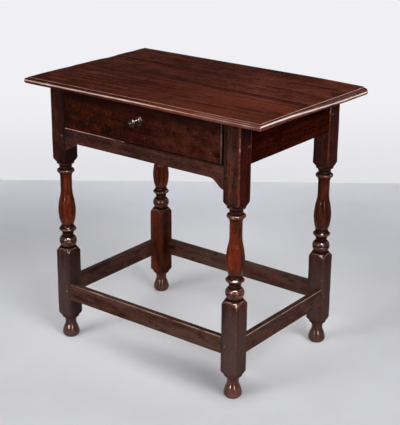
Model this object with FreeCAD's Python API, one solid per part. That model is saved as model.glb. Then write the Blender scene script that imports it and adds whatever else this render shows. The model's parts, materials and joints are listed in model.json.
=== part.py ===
import FreeCAD, Part
import math
import os

# Tavern table of joined oak with one side-hung drawer.
# Millimetres. +X runs along the table, +Y to its back, +Z up; the feet stand on Z = 0.
# X = 0 and Y = 0 lie at the middle of the whole outline, drawer knob included.

Vector = FreeCAD.Vector

# ---------------------------------------------------------------- overall
table_height = 710.0
top_length = 730.0
top_depth = 474.0
top_thickness = 17.0
end_overhang = 71.0               # of the top, past the legs' outer faces
front_overhang = 23.0
back_overhang = 19.0

# ---------------------------------------------------------------- top
moulding_width = 9.0              # from the edge in to the upper arris
quirk_depth = 2.2                 # step down from the upper arris to the bead
bead_radius = 6.4                 # upper quarter round of the bead
top_corner_round = 5.0
seam_left_y = 38.0                # tapered joint of the two boards, from the top's middle
seam_right_y = -32.0
seam_gap = 0.6
dowel_radius = 4.0
dowel_length = 56.0
dowel_spacing = 250.0
dowel_count = 3
top_peg_radius = 3.6
top_peg_length = 62.0
right_peg_offsets = (-104.0, 92.0)      # along the side rail, from its middle
left_peg_offsets = (-55.0, 118.0)

# ---------------------------------------------------------------- legs
leg_square = 46.0
leg_arris_round = 1.8
upper_block_length = 188.5
lower_block_length = 187.3
foot_height = 69.2                # floor to the lower block
block_cut_rise = 1.5              # how far a turned shoulder climbs the block's corners

shoulder_drop = 11.0              # upper block's corner down to its round fillet
shoulder_fillet_radius = 22.7
shoulder_fillet_length = 3.5
shoulder_cove_length = 8.5
shoulder_cove_hollow = 1.6
upper_neck_radius = 16.4
upper_neck_length = 7.0
upper_ring_height = 9.5
upper_ring_edge_radius = 19.2
upper_ring_crown = 3.8
shaft_cove_height = 17.0
shaft_cove_hollow = 1.6
shaft_radius = 15.3               # slender top of the baluster
shaft_length = 23.5               # the baluster's lengths keep their ratio and fill the space left
shaft_flare_length = 24.0
shaft_flare_hollow = 0.7
shoulder_radius = 17.3            # where the belly's shoulder meets the shaft
shoulder_length = 22.0
shoulder_crown = 0.4
belly_radius = 21.4               # at both ends of the baluster's fullest stretch
belly_length = 36.0
belly_crown = 1.5
taper_radius = 16.0
taper_length = 21.0
taper_crown = 1.0
lower_ring_rise = 52.5            # lower block to the middle of the sharp ring
lower_ring_half = 12.5
lower_ring_land = 2.6
lower_ring_edge_radius = 21.8
lower_ring_crown = 1.2
lower_ring_hollow = 1.2
lower_neck_radius = 14.8
ball_rise = 18.0                  # lower block to the middle of the ball
ball_half = 14.5
ball_end_radius = 16.6
ball_groove_rise = 2.4
ball_groove_width = 2.2
ball_groove_depth = 1.0
seat_radius = 18.5
seat_rise = 2.6

foot_shoulder_drop = 8.0          # lower block's corner down to its round fillet
foot_fillet = 3.0
foot_step_radius = 19.4
foot_step_drop = 2.0
foot_cove_hollow = 1.4
foot_neck_radius = 15.0
foot_neck_height = 39.0
foot_neck_length = 4.5
foot_pear_crown = 1.0
foot_widest_height = 11.5
foot_pad_radius = 18.0

# ---------------------------------------------------------------- rails and stretchers
rail_thickness = 18.0
rail_height = 102.0               # side and back rails, up to the top
rail_inset = 3.0
drawer_rail_thickness = 20.0
drawer_rail_height = 37.0
drawer_rail_inset = 1.5
bracket_length = 41.0
bracket_drop = 23.5
bracket_shoulder_length = 16.0    # the convex start of the ogee
bracket_shoulder_drop = 6.0
bracket_shoulder_crown = 1.55
bracket_waist_length = 9.5        # from the leg
bracket_waist_drop = 18.8
bracket_hollow = 0.55
bracket_lobe_length = 4.0
bracket_lobe_drop = 21.0
bracket_lobe_crown = 0.7
stretcher_thickness = 16.0
stretcher_height = 45.5
stretcher_inset = 1.0
stretcher_bottom = 115.6

worn_round = 1.6                  # long arrises of the rails and stretchers
tenon_thickness = 8.0
tenon_shoulder = 6.0              # above and below a tenon
tenon_gap = 2.0                   # between two tenons that meet in one leg
mortise_clearance = 0.15
mortise_end_clearance = 1.0
peg_radius = 3.2
peg_setback = 11.0                # from a rail's shoulder to its pegs
peg_embed = 9.0                   # past the tenon
peg_proud = 0.5
peg_clearance = 0.03
rail_peg_drop = 6.0               # of its pegs, below the middle of a deep rail
drawer_rail_peg_drop = 3.0

# ---------------------------------------------------------------- drawer
drawer_gap_left = 1.3
drawer_gap_right = 2.7
drawer_gap_bottom = 1.5
drawer_gap_top = 2.0
drawer_inset = 1.5                # front, back from the face of the legs
drawer_back_gap = 12.0
front_thickness = 18.0
front_lip = 8.0                   # of the drawer front, ahead of its sides
front_round = 1.0
side_thickness = 14.0
side_top_drop = 4.0
back_thickness = 12.0
back_top_drop = 6.0
bottom_thickness = 8.0
bottom_rabbet = 6.0
bottom_board_count = 3
bottom_board_gap = 0.4
fit_clearance = 0.1               # between glued or nailed drawer pieces
groove_depth = 7.0
groove_height = 16.0
groove_middle_rise = 50.0         # above the drawer's lower edge
bearer_top_clearance = 0.3
bearer_bottom_clearance = 0.6
bearer_side_clearance = 1.0
bearer_stop_clearance = 0.3
bearer_back_gap = 1.0

knob_offset = -3.0                # from the middle of the drawer front
knob_rise = 59.0                  # above the drawer's lower edge
knob_shank_radius = 4.5
knob_shank_end = 4.0              # behind the drawer front
knob_rose_radius = 13.0           # the radii and reaches below run outwards from the seat
knob_rose_reach = 3.0
knob_rose_top_radius = 10.4
knob_rose_crown = 0.8
knob_neck_radius = 5.4
knob_neck_reach = 10.5
knob_neck_hollow = 1.2
knob_collar_radius = 8.0
knob_collar_reach = 13.5
knob_waist_radius = 6.2
knob_waist_reach = 16.5
knob_head_radius = 11.0
knob_head_reach = 23.0
knob_tip_radius = 3.2
knob_tip_reach = 29.0
knob_tip_seat = 1.0
knob_length = 34.0

# ---------------------------------------------------------------- nails
nail_radius = 1.3
nail_length = 30.0
nail_head_radius = 3.0
nail_head_thickness = 1.2
nail_clearance = 0.02
corner_nail_shares = (0.25, 0.75)  # from the groove up to the top of the drawer's back
bottom_nail_length = 24.0
bottom_nail_gap = 8.0             # from the tips of the corner nails
bearer_nail_length = 26.0
bearer_nail_shares = (0.27, 0.73)  # along the stretch of the bearer that lies on a leg

# ---------------------------------------------------------------- places that follow
turned_radius = leg_square / 2    # every full round of the turning
frame_length = top_length - 2 * end_overhang                # over the outer faces of the legs
frame_depth = top_depth - front_overhang - back_overhang
front_reach = max(front_overhang, knob_length - drawer_inset)   # of the outline, past the front legs
frame_y = (front_reach - back_overhang) / 2
top_y = frame_y + (back_overhang - front_overhang) / 2

leg_top = table_height - top_thickness
upper_block_bottom = leg_top - upper_block_length
lower_block_top = foot_height + lower_block_length
leg_x = (frame_length - leg_square) / 2
leg_dy = (frame_depth - leg_square) / 2
inner_x = frame_length / 2 - leg_square
inner_dy = frame_depth / 2 - leg_square
rail_bottom = leg_top - rail_height
drawer_rail_top = rail_bottom
drawer_rail_bottom = drawer_rail_top - drawer_rail_height
corner_reach = leg_square / math.sqrt(2) + 1.0

drawer_left = -inner_x + drawer_gap_left
drawer_right = inner_x - drawer_gap_right
drawer_middle = (drawer_left + drawer_right) / 2
drawer_bottom_z = drawer_rail_top + drawer_gap_bottom
drawer_top_z = leg_top - drawer_gap_top
side_top_z = drawer_top_z - side_top_drop
front_face_y = frame_y - frame_depth / 2 + drawer_inset
front_back_y = front_face_y + front_thickness
back_rail_face_y = frame_y + frame_depth / 2 - rail_inset - rail_thickness
drawer_end_y = back_rail_face_y - drawer_back_gap
groove_bottom_z = drawer_bottom_z + groove_middle_rise - groove_height / 2
groove_top_z = groove_bottom_z + groove_height
bearer_front_y = front_back_y + bearer_stop_clearance
bearer_back_y = back_rail_face_y - bearer_back_gap
back_top_z = side_top_z - back_top_drop


# ---------------------------------------------------------------- shape helpers
def box(x0, x1, y0, y1, z0, z1):
    """Block between two corners, given in any order."""
    low = Vector(min(x0, x1), min(y0, y1), min(z0, z1))
    return Part.makeBox(abs(x1 - x0), abs(y1 - y0), abs(z1 - z0), low)


def cylinder(radius, start, end):
    """Round bar between two points."""
    return Part.makeCylinder(radius, (end - start).Length, start, end - start)


def outline(start, steps):
    """Closed face in the XZ plane; a step is (x, z), or (x, z, crown) for an arc.

    The crown is how far the arc stands off its chord, to the right of the way it runs.
    """
    edges = []
    first = Vector(start[0], 0, start[1])
    here = first
    for x, z, *crown in steps:
        there = Vector(x, 0, z)
        if crown:
            chord = there - here
            aside = Vector(chord.z, 0, -chord.x) * (crown[0] / chord.Length)
            edges.append(Part.Arc(here, (here + there) / 2 + aside, there).toShape())
        else:
            edges.append(Part.LineSegment(here, there).toShape())
        here = there
    if (here - first).Length > 1e-6:
        edges.append(Part.LineSegment(here, first).toShape())
    return Part.Face(Part.Wire(edges))


def arc_crown(radius, chord):
    """How far an arc of this radius stands off its chord."""
    return radius - math.sqrt(radius ** 2 - chord ** 2 / 4)


def full_crown(wide, narrow, height):
    """Crown of the arc from a widest round, where it runs upright, to a narrower one."""
    chord = math.hypot(wide - narrow, height)
    return arc_crown(chord ** 2 / (2 * (wide - narrow)), chord)


def dome_crown(radius, height):
    """Crown of the arc that turns into a dome of this foot radius and height."""
    chord = math.hypot(radius, height)
    return arc_crown(chord ** 2 / (2 * height), chord)


def turned(start, steps):
    """Solid of revolution about Z of an outline that begins and ends on the axis."""
    return outline(start, steps).revolve(Vector(0, 0, 0), Vector(0, 0, 1), 360)


def rounded_square_bar(side, z0, z1, rounding):
    """Upright bar with its four long arrises rounded."""
    bar = box(-side / 2, side / 2, -side / 2, side / 2, z0, z1)
    upright = [edge for edge in bar.Edges if abs(edge.tangentAt(edge.FirstParameter).z) > 0.9]
    return bar.makeFillet(rounding, upright)


def worn_box(block, rounding, lowest_z):
    """Block whose longest arrises at or above a height are rounded by wear."""
    longest = max(edge.Length for edge in block.Edges) - 0.01
    arrises = [edge for edge in block.Edges if edge.Length > longest and edge.CenterOfMass.z >= lowest_z]
    return block.makeFillet(rounding, arrises)


def nail(head, direction, length):
    """Clout nail whose head lies flush at the point head, driven along direction."""
    unit = Vector(direction)
    unit.normalize()
    shank = cylinder(nail_radius, head, head + unit * length)
    disc = cylinder(nail_head_radius, head, head + unit * nail_head_thickness)
    return shank.fuse(disc)


def nail_hole(head, direction, length):
    """Room for a nail, in the pieces that it joins."""
    unit = Vector(direction)
    unit.normalize()
    shank = cylinder(nail_radius + nail_clearance, head - unit, head + unit * (length + nail_clearance))
    depth = nail_head_thickness + nail_clearance
    disc = cylinder(nail_head_radius + nail_clearance, head - unit, head + unit * depth)
    return shank.fuse(disc)


def cut_all(shape, tools):
    """Shape less every tool that reaches it."""
    near = [tool for tool in tools if tool.BoundBox.intersect(shape.BoundBox)]
    return shape.cut(near) if near else shape


# ---------------------------------------------------------------- legs
def foot_steps():
    """Turning from the floor to the lower block."""
    neck_low = foot_neck_height - foot_neck_length / 2
    neck_high = foot_neck_height + foot_neck_length / 2
    fillet_high = foot_height - foot_shoulder_drop
    fillet_low = fillet_high - foot_fillet
    return [
        (foot_pad_radius, 0),
        (turned_radius, foot_widest_height,
         full_crown(turned_radius, foot_pad_radius, foot_widest_height)),
        (foot_neck_radius, neck_low, foot_pear_crown),
        (foot_neck_radius, neck_high),
        (foot_step_radius, fillet_low - foot_step_drop, -foot_cove_hollow),
        (foot_step_radius, fillet_low),
        (turned_radius, fillet_low),
        (turned_radius, fillet_high),
        (corner_reach, foot_height + block_cut_rise),
    ]


def ball_steps():
    """The lower block's turned top, and the grooved ball on it."""
    ball_low = lower_block_top + ball_rise - ball_half
    ball_high = lower_block_top + ball_rise + ball_half
    groove_z = lower_block_top + ball_rise + ball_groove_rise
    groove_low = groove_z - ball_groove_width / 2
    groove_high = groove_z + ball_groove_width / 2
    return [
        (corner_reach, lower_block_top - block_cut_rise),
        (seat_radius, lower_block_top + seat_rise),
        (ball_end_radius, ball_low),
        (turned_radius, groove_low,
         full_crown(turned_radius, ball_end_radius, groove_low - ball_low)),
        (turned_radius - ball_groove_depth, groove_z),
        (turned_radius, groove_high),
        (ball_end_radius, ball_high,
         full_crown(turned_radius, ball_end_radius, ball_high - groove_high)),
        (lower_neck_radius, ball_high),
    ]


def lower_ring_steps():
    """The sharp ring under the baluster."""
    ring_z = lower_block_top + lower_ring_rise
    return [
        (lower_neck_radius, ring_z - lower_ring_half),
        (lower_ring_edge_radius, ring_z - lower_ring_land, -lower_ring_hollow),
        (lower_ring_edge_radius, ring_z + lower_ring_land, lower_ring_crown),
        (taper_radius, ring_z + lower_ring_half, -lower_ring_hollow),
    ]


def baluster_steps(low, high):
    """The baluster, from its taper up to its slender shaft."""
    stretches = [
        (belly_radius, taper_length, taper_crown),
        (belly_radius, belly_length, belly_crown),
        (shoulder_radius, shoulder_length, shoulder_crown),
        (shaft_radius, shaft_flare_length, -shaft_flare_hollow),
        (shaft_radius, shaft_length),
    ]
    stretch = (high - low) / sum(length for radius, length, *crown in stretches)
    steps = []
    z = low
    for radius, length, *crown in stretches:
        z += length * stretch
        steps.append((radius, z, *crown))
    return steps


def upper_turning_steps():
    """The upper ring and the shoulder under the upper block."""
    fillet_high = upper_block_bottom - shoulder_drop
    fillet_low = fillet_high - shoulder_fillet_length
    neck_high = fillet_low - shoulder_cove_length
    ring_high = neck_high - upper_neck_length
    ring_low = ring_high - upper_ring_height
    return [
        (shaft_radius, ring_low - shaft_cove_height),
        (upper_ring_edge_radius, ring_low, -shaft_cove_hollow),
        (upper_ring_edge_radius, ring_high, upper_ring_crown),
        (upper_neck_radius, ring_high),
        (upper_neck_radius, neck_high),
        (shoulder_fillet_radius, fillet_low, -shoulder_cove_hollow),
        (shoulder_fillet_radius, fillet_high),
        (corner_reach, upper_block_bottom + block_cut_rise),
    ]


def leg_blank():
    """One leg, square blocks and turnings from a single stock, standing on the axis."""
    below = foot_steps() + ball_steps() + lower_ring_steps()
    above = upper_turning_steps()
    baluster = baluster_steps(below[-1][1], above[0][1])
    steps = below + baluster + above[1:] + [(corner_reach, leg_top), (0, leg_top)]
    return turned((0, 0), steps).common(rounded_square_bar(leg_square, 0, leg_top, leg_arris_round))


# ---------------------------------------------------------------- rails
def tenon_length(crossing_inset, crossing_thickness):
    """Longest tenon that stops short of the one that enters the leg's other face."""
    crossing_face = crossing_inset + crossing_thickness / 2 + tenon_thickness / 2
    return leg_square - crossing_face - tenon_gap


class Rail:
    """A bar between two legs, with a pegged tenon at each end."""

    def __init__(self, name, along, side, bottom, height, thickness, inset, length, peg_rise):
        self.name = name
        self.along = along                # "x" or "y"
        self.side = side                  # -1 front or left, +1 back or right
        self.bottom = bottom
        self.height = height
        self.thickness = thickness
        self.inset = inset
        self.tenon = length
        self.peg_rise = peg_rise          # above the rail's lower edge

    def place(self, run, depth, z):
        """Point at run along the rail and depth in from the legs' outer faces."""
        if self.along == "x":
            return Vector(run, frame_y + self.side * (frame_depth / 2 - depth), z)
        return Vector(self.side * (frame_length / 2 - depth), frame_y + run, z)

    def block(self, run0, run1, depth0, depth1, z0, z1):
        """Block in the rail's own directions."""
        low = self.place(run0, depth0, z0)
        high = self.place(run1, depth1, z1)
        return box(low.x, high.x, low.y, high.y, z0, z1)

    def half_span(self):
        """From the middle to the shoulder."""
        return inner_x if self.along == "x" else inner_dy

    def tenon_block(self, end, slack, end_slack):
        """Tenon at end -1 or +1, or its mortise when slack is given."""
        middle = self.inset + self.thickness / 2
        low = self.bottom + tenon_shoulder - slack
        high = self.bottom + self.height - tenon_shoulder + slack
        half = tenon_thickness / 2 + slack
        root = self.half_span()
        tip = root + self.tenon + end_slack
        return self.block(end * root, end * tip, middle - half, middle + half, low, high)

    def peg(self, end, slack, proud):
        """Peg through the leg and the tenon, or its hole when slack is given."""
        run = end * (self.half_span() + peg_setback)
        depth = self.inset + self.thickness / 2 + tenon_thickness / 2 + peg_embed
        z = self.bottom + self.peg_rise
        outer = self.place(run, -proud, z)
        inner = self.place(run, depth + slack, z)
        return cylinder(peg_radius + slack, outer, inner)

    def pegs(self):
        """Both pegs of the rail."""
        return [self.peg(end, 0, peg_proud) for end in (-1, 1)]

    def peg_holes(self):
        """Holes for the pegs, in the legs and the tenons."""
        return [self.peg(end, peg_clearance, peg_proud + 1) for end in (-1, 1)]

    def mortises(self):
        """Both mortises, in the legs."""
        return [self.tenon_block(end, mortise_clearance, mortise_end_clearance) for end in (-1, 1)]

    def body(self):
        """The bar with its tenons, before its peg holes."""
        span = self.half_span()
        far = self.inset + self.thickness
        bar = self.block(-span, span, self.inset, far, self.bottom, self.bottom + self.height)
        tenons = [self.tenon_block(end, 0, 0) for end in (-1, 1)]
        return worn_box(bar, worn_round, self.lowest_worn_z()).fuse(tenons)

    def lowest_worn_z(self):
        """Height from which the long arrises are worn."""
        return self.bottom

    def solid(self):
        """The finished bar."""
        return cut_all(self.body(), self.peg_holes()).removeSplitter()


def bracket_face(end):
    """Ogee bracket under one end of the drawer rail, as a face in the XZ plane."""
    steps = [
        (bracket_length - bracket_shoulder_length, bracket_shoulder_drop, bracket_shoulder_crown),
        (bracket_waist_length, bracket_waist_drop),
        (bracket_lobe_length, bracket_lobe_drop, -bracket_hollow),
        (0, bracket_drop, bracket_lobe_crown),
        (0, 0),
    ]
    placed = [(end * (inner_x - back), drawer_rail_bottom - drop, *[-end * rise for rise in crown])
              for back, drop, *crown in steps]
    return outline((end * (inner_x - bracket_length), drawer_rail_bottom), placed)


class DrawerRail(Rail):
    """The rail under the drawer, whose ends drop into ogee brackets."""

    def lowest_worn_z(self):
        """Only the upper arrises are worn, as the brackets run into the lower ones."""
        return self.bottom + self.height

    def body(self):
        """The bar with its tenons and brackets."""
        front_y = self.place(0, self.inset, 0).y
        bar = super().body()
        for end in (-1, 1):
            bracket = bracket_face(end).extrude(Vector(0, self.thickness, 0))
            bracket.translate(Vector(0, front_y, 0))
            bar = bar.fuse(bracket)
        return bar


deep_tenon = tenon_length(rail_inset, rail_thickness)
stretcher_tenon = tenon_length(stretcher_inset, stretcher_thickness)
deep_rise = rail_height / 2 - rail_peg_drop
drawer_rail_rise = drawer_rail_height / 2 - drawer_rail_peg_drop

rails = [DrawerRail("front_drawer_rail", "x", -1, drawer_rail_bottom, drawer_rail_height,
                    drawer_rail_thickness, drawer_rail_inset, deep_tenon, drawer_rail_rise)]
rails += [Rail(name, along, side, rail_bottom, rail_height, rail_thickness, rail_inset, deep_tenon, deep_rise)
          for name, along, side in (
              ("back_rail", "x", 1), ("side_rail_left", "y", -1), ("side_rail_right", "y", 1))]
stretchers = [Rail(name, along, side, stretcher_bottom, stretcher_height, stretcher_thickness,
                   stretcher_inset, stretcher_tenon, stretcher_height / 2)
              for name, along, side in (
                  ("stretcher_front", "x", -1), ("stretcher_back", "x", 1),
                  ("stretcher_left", "y", -1), ("stretcher_right", "y", 1))]


# ---------------------------------------------------------------- drawer bearers
def groove_floor_x(side):
    """Floor of the groove in a drawer side."""
    return drawer_left + groove_depth if side < 0 else drawer_right - groove_depth


def bearer_face_x(side):
    """Face of a bearer that looks at the drawer."""
    return groove_floor_x(side) + side * bearer_side_clearance


def bearer_nail_points(side):
    """Head points of the nails that hold one bearer to its two legs."""
    z = groove_bottom_z + groove_height / 2
    stretches = ((bearer_front_y, frame_y - inner_dy), (frame_y + inner_dy, bearer_back_y))
    return [Vector(bearer_face_x(side), start + (end - start) * share, z)
            for start, end in stretches for share in bearer_nail_shares]


def bearer(side):
    """Bar that carries a drawer side in its groove, nailed to the legs, packed out to the side rail."""
    face_x = bearer_face_x(side)
    rail_face_x = side * (frame_length / 2 - rail_inset - rail_thickness)
    z0 = groove_bottom_z + bearer_bottom_clearance
    z1 = groove_top_z - bearer_top_clearance
    tongue = box(face_x, side * inner_x, bearer_front_y, bearer_back_y, z0, z1)
    packing = box(face_x, rail_face_x, frame_y - inner_dy, frame_y + inner_dy, z0, z1)
    holes = [nail_hole(p, Vector(side, 0, 0), bearer_nail_length) for p in bearer_nail_points(side)]
    return cut_all(tongue.fuse(packing).removeSplitter(), holes)


# ---------------------------------------------------------------- top
def moulded_bar(span, length):
    """Bar along +Y whose XZ section is span wide, with the bead run on both edges."""
    half = span / 2
    arris_x = half - moulding_width
    bead_x = half - bead_radius
    quirk_z = table_height - quirk_depth
    nose_z = quirk_z - bead_radius
    under_radius = nose_z - leg_top
    under_x = half - under_radius
    quarter = 1 - math.sqrt(0.5)      # an arc of 90 degrees stands this share of its radius off its chord
    steps = [
        (under_x, leg_top),
        (half, nose_z, under_radius * quarter),
        (bead_x, quirk_z, bead_radius * quarter),
        (arris_x, quirk_z),
        (arris_x, table_height),
        (-arris_x, table_height),
        (-arris_x, quirk_z),
        (-bead_x, quirk_z),
        (-half, nose_z, bead_radius * quarter),
        (-under_x, leg_top, under_radius * quarter),
    ]
    bar = outline((0, leg_top), steps).extrude(Vector(0, length, 0))
    bar.translate(Vector(0, -length / 2, 0))
    return bar


def top_blank():
    """The whole top before it is parted at the seam."""
    along_y = moulded_bar(top_length, top_depth)
    along_x = moulded_bar(top_depth, top_length)
    along_x.rotate(Vector(0, 0, 0), Vector(0, 0, 1), 90)
    plate = box(-top_length / 2, top_length / 2, -top_depth / 2, top_depth / 2, leg_top, table_height)
    upright = [edge for edge in plate.Edges if abs(edge.tangentAt(edge.FirstParameter).z) > 0.9]
    blank = along_y.common(along_x).common(plate.makeFillet(top_corner_round, upright))
    blank.translate(Vector(0, top_y, 0))
    return blank


def seam_y(x):
    """Y of the seam at x."""
    share = (x + top_length / 2) / top_length
    return top_y + seam_left_y + (seam_right_y - seam_left_y) * share


def board_space(side):
    """Everything on one side of the seam: -1 front, +1 rear."""
    half = top_length / 2 + 10
    far_y = top_y + side * top_depth
    near = side * seam_gap / 2
    low = leg_top - 1
    points = [Vector(-half, seam_y(-half) + near, low), Vector(half, seam_y(half) + near, low),
              Vector(half, far_y, low), Vector(-half, far_y, low)]
    face = Part.Face(Part.makePolygon(points + [points[0]]))
    return face.extrude(Vector(0, 0, top_thickness + 2))


def dowel(index, slack):
    """Loose dowel across the seam, or its hole when slack is given."""
    x = (index - (dowel_count - 1) / 2) * dowel_spacing
    z = leg_top + top_thickness / 2
    half = dowel_length / 2 + slack
    return cylinder(dowel_radius + slack, Vector(x, seam_y(x) - half, z), Vector(x, seam_y(x) + half, z))


def top_peg(side, offset, slack, rise):
    """Peg through the top into a side rail, or its hole when slack is given."""
    x = side * (frame_length / 2 - rail_inset - rail_thickness / 2)
    y = frame_y + offset
    low = table_height - top_peg_length - slack
    return cylinder(top_peg_radius + slack, Vector(x, y, low), Vector(x, y, table_height + rise))


def top_pegs(slack, rise):
    """All pegs of the top."""
    offsets = [(1, offset) for offset in right_peg_offsets] + [(-1, offset) for offset in left_peg_offsets]
    return [top_peg(side, offset, slack, rise) for side, offset in offsets]


def top_board(side):
    """One board of the top."""
    holes = [dowel(i, mortise_clearance) for i in range(dowel_count)] + top_pegs(peg_clearance, 1)
    return cut_all(top_blank().common(board_space(side)), holes)


# ---------------------------------------------------------------- drawer
def corner_nails(build):
    """Nails through the drawer sides into its front and back; build makes a nail or its hole."""
    made = []
    front_y = front_face_y + front_lip + (front_thickness - front_lip) / 2
    back_y = drawer_end_y - back_thickness / 2
    heights = [(drawer_bottom_z + bottom_thickness + groove_bottom_z) / 2]
    heights += [groove_top_z + (back_top_z - groove_top_z) * share for share in corner_nail_shares]
    for x, inward in ((drawer_left, 1), (drawer_right, -1)):
        for y in (front_y, back_y):
            for z in heights:
                made.append(build(Vector(x, y, z), Vector(inward, 0, 0), nail_length))
    return made


def bottom_edges():
    """Left edges of the bottom boards, and the right edge of the last."""
    left = drawer_left + side_thickness - bottom_rabbet + fit_clearance
    right = drawer_right - side_thickness + bottom_rabbet - fit_clearance
    step = (right - left) / bottom_board_count
    return [left + step * i for i in range(bottom_board_count + 1)]


def bottom_nails(build):
    """Nails up through the bottom boards into the drawer's front and back."""
    made = []
    edges = bottom_edges()
    margin = drawer_left + nail_length + bottom_nail_gap - edges[0]
    front_y = front_back_y - bottom_rabbet / 2 - fit_clearance
    back_y = drawer_end_y - back_thickness / 2
    for i in range(bottom_board_count):
        for x in (edges[i] + margin, edges[i + 1] - margin):
            for y in (front_y, back_y):
                made.append(build(Vector(x, y, drawer_bottom_z), Vector(0, 0, 1), bottom_nail_length))
    return made


def knob_place():
    """Middle of the knob's seat on the drawer front."""
    return Vector(drawer_middle + knob_offset, front_face_y, drawer_bottom_z + knob_rise)


def drawer_front():
    """Front board, rabbeted for the sides and the bottom."""
    slack = fit_clearance
    board = box(drawer_left, drawer_right, front_face_y, front_back_y, drawer_bottom_z, drawer_top_z)
    board = worn_box(board, front_round, drawer_bottom_z)
    lip_y = front_face_y + front_lip
    left = box(drawer_left - 1, drawer_left + side_thickness + slack, lip_y, front_back_y + 1,
               drawer_bottom_z - 1, drawer_top_z + 1)
    right = box(drawer_right + 1, drawer_right - side_thickness - slack, lip_y, front_back_y + 1,
                drawer_bottom_z - 1, drawer_top_z + 1)
    under = box(drawer_left - 1, drawer_right + 1, front_back_y - bottom_rabbet - slack, front_back_y + 1,
                drawer_bottom_z - 1, drawer_bottom_z + bottom_thickness + slack)
    seat = knob_place()
    bore = cylinder(knob_shank_radius + peg_clearance,
                    seat - Vector(0, 1, 0), seat + Vector(0, front_thickness + 1, 0))
    return cut_all(board, [left, right, under, bore] + corner_nails(nail_hole) + bottom_nails(nail_hole))


def drawer_side(side):
    """Side board with the groove that the bearer runs in."""
    outer = drawer_left if side < 0 else drawer_right
    inner = outer - side * side_thickness
    board = box(outer, inner, front_face_y + front_lip + fit_clearance, drawer_end_y,
                drawer_bottom_z, side_top_z)
    groove = box(outer + side, groove_floor_x(side), front_back_y, drawer_end_y + 1,
                 groove_bottom_z, groove_top_z)
    rabbet = box(inner - side, inner + side * bottom_rabbet, front_face_y, drawer_end_y + 1,
                 drawer_bottom_z - 1, drawer_bottom_z + bottom_thickness + fit_clearance)
    return cut_all(board, [groove, rabbet] + corner_nails(nail_hole))


def drawer_back():
    """Back board, between the sides and over the bottom."""
    board = box(drawer_left + side_thickness + fit_clearance, drawer_right - side_thickness - fit_clearance,
                drawer_end_y - back_thickness, drawer_end_y,
                drawer_bottom_z + bottom_thickness + fit_clearance, back_top_z)
    return cut_all(board, corner_nails(nail_hole) + bottom_nails(nail_hole))


def drawer_bottom(index):
    """One board of the drawer's bottom, its grain front to back."""
    edges = bottom_edges()
    board = box(edges[index], edges[index + 1] - bottom_board_gap, front_back_y - bottom_rabbet, drawer_end_y,
                drawer_bottom_z, drawer_bottom_z + bottom_thickness)
    return cut_all(board, bottom_nails(nail_hole))


def drawer_knob():
    """Turned knob with its shank through the drawer front, built along +Z and laid forward."""
    shank_end = -front_thickness - knob_shank_end
    steps = [
        (knob_shank_radius, shank_end),
        (knob_shank_radius, 0),
        (knob_rose_radius, 0),
        (knob_rose_top_radius, knob_rose_reach, knob_rose_crown),
        (knob_neck_radius, knob_neck_reach, -knob_neck_hollow),
        (knob_collar_radius, knob_collar_reach),
        (knob_waist_radius, knob_waist_reach),
        (knob_head_radius, knob_head_reach,
         full_crown(knob_head_radius, knob_waist_radius, knob_head_reach - knob_waist_reach)),
        (knob_tip_radius, knob_tip_reach,
         full_crown(knob_head_radius, knob_tip_radius, knob_tip_reach - knob_head_reach)),
        (knob_tip_radius, knob_tip_reach + knob_tip_seat),
        (0, knob_length, dome_crown(knob_tip_radius, knob_length - knob_tip_reach - knob_tip_seat)),
    ]
    knob = turned((0, shank_end), steps)
    knob.rotate(Vector(0, 0, 0), Vector(1, 0, 0), 90)
    knob.translate(knob_place())
    return knob


# ---------------------------------------------------------------- assembly
def build():
    """Every node of the table, by name."""
    nodes = {}
    joinery = []
    for rail in rails + stretchers:
        joinery += rail.mortises() + rail.peg_holes()
    for side in (-1, 1):
        joinery += [nail_hole(p, Vector(side, 0, 0), bearer_nail_length) for p in bearer_nail_points(side)]

    blank = leg_blank()
    corners = {"leg_front_left": (-1, -1), "leg_front_right": (1, -1),
               "leg_back_left": (-1, 1), "leg_back_right": (1, 1)}
    for name, (sx, sy) in corners.items():
        leg = blank.copy()
        leg.translate(Vector(sx * leg_x, frame_y + sy * leg_dy, 0))
        nodes[name] = cut_all(leg, joinery)

    peg_bores = top_pegs(peg_clearance, 1)
    for rail in rails + stretchers:
        nodes[rail.name] = cut_all(rail.solid(), peg_bores)
    nodes["rail_pegs"] = Part.makeCompound([peg for rail in rails for peg in rail.pegs()])
    nodes["stretcher_pegs"] = Part.makeCompound([peg for rail in stretchers for peg in rail.pegs()])

    nodes["top_board_front"] = top_board(-1)
    nodes["top_board_rear"] = top_board(1)
    nodes["top_dowels"] = Part.makeCompound([dowel(i, 0) for i in range(dowel_count)])
    nodes["top_pegs"] = Part.makeCompound(top_pegs(0, 0))

    nodes["drawer_bearer_left"] = bearer(-1)
    nodes["drawer_bearer_right"] = bearer(1)
    bearer_nails = [nail(p, Vector(side, 0, 0), bearer_nail_length)
                    for side in (-1, 1) for p in bearer_nail_points(side)]
    nodes["bearer_nails"] = Part.makeCompound(bearer_nails)

    nodes["drawer_front"] = drawer_front()
    nodes["drawer_side_left"] = drawer_side(-1)
    nodes["drawer_side_right"] = drawer_side(1)
    nodes["drawer_back"] = drawer_back()
    for index, place in enumerate(("left", "middle", "right")):
        nodes["drawer_bottom_" + place] = drawer_bottom(index)
    nodes["drawer_knob"] = drawer_knob()
    nodes["drawer_corner_nails"] = Part.makeCompound(corner_nails(nail))
    nodes["drawer_bottom_nails"] = Part.makeCompound(bottom_nails(nail))
    return nodes


os.makedirs("parts", exist_ok=True)
for node_name, shape in build().items():
    shape.exportStep("parts/" + node_name + ".step")
    bounds = shape.BoundBox
    print("%-22s solids %2d valid %s  x %7.1f %7.1f  y %7.1f %7.1f  z %6.1f %6.1f" % (
        node_name, len(shape.Solids), shape.isValid(), bounds.XMin, bounds.XMax,
        bounds.YMin, bounds.YMax, bounds.ZMin, bounds.ZMax))
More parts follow.
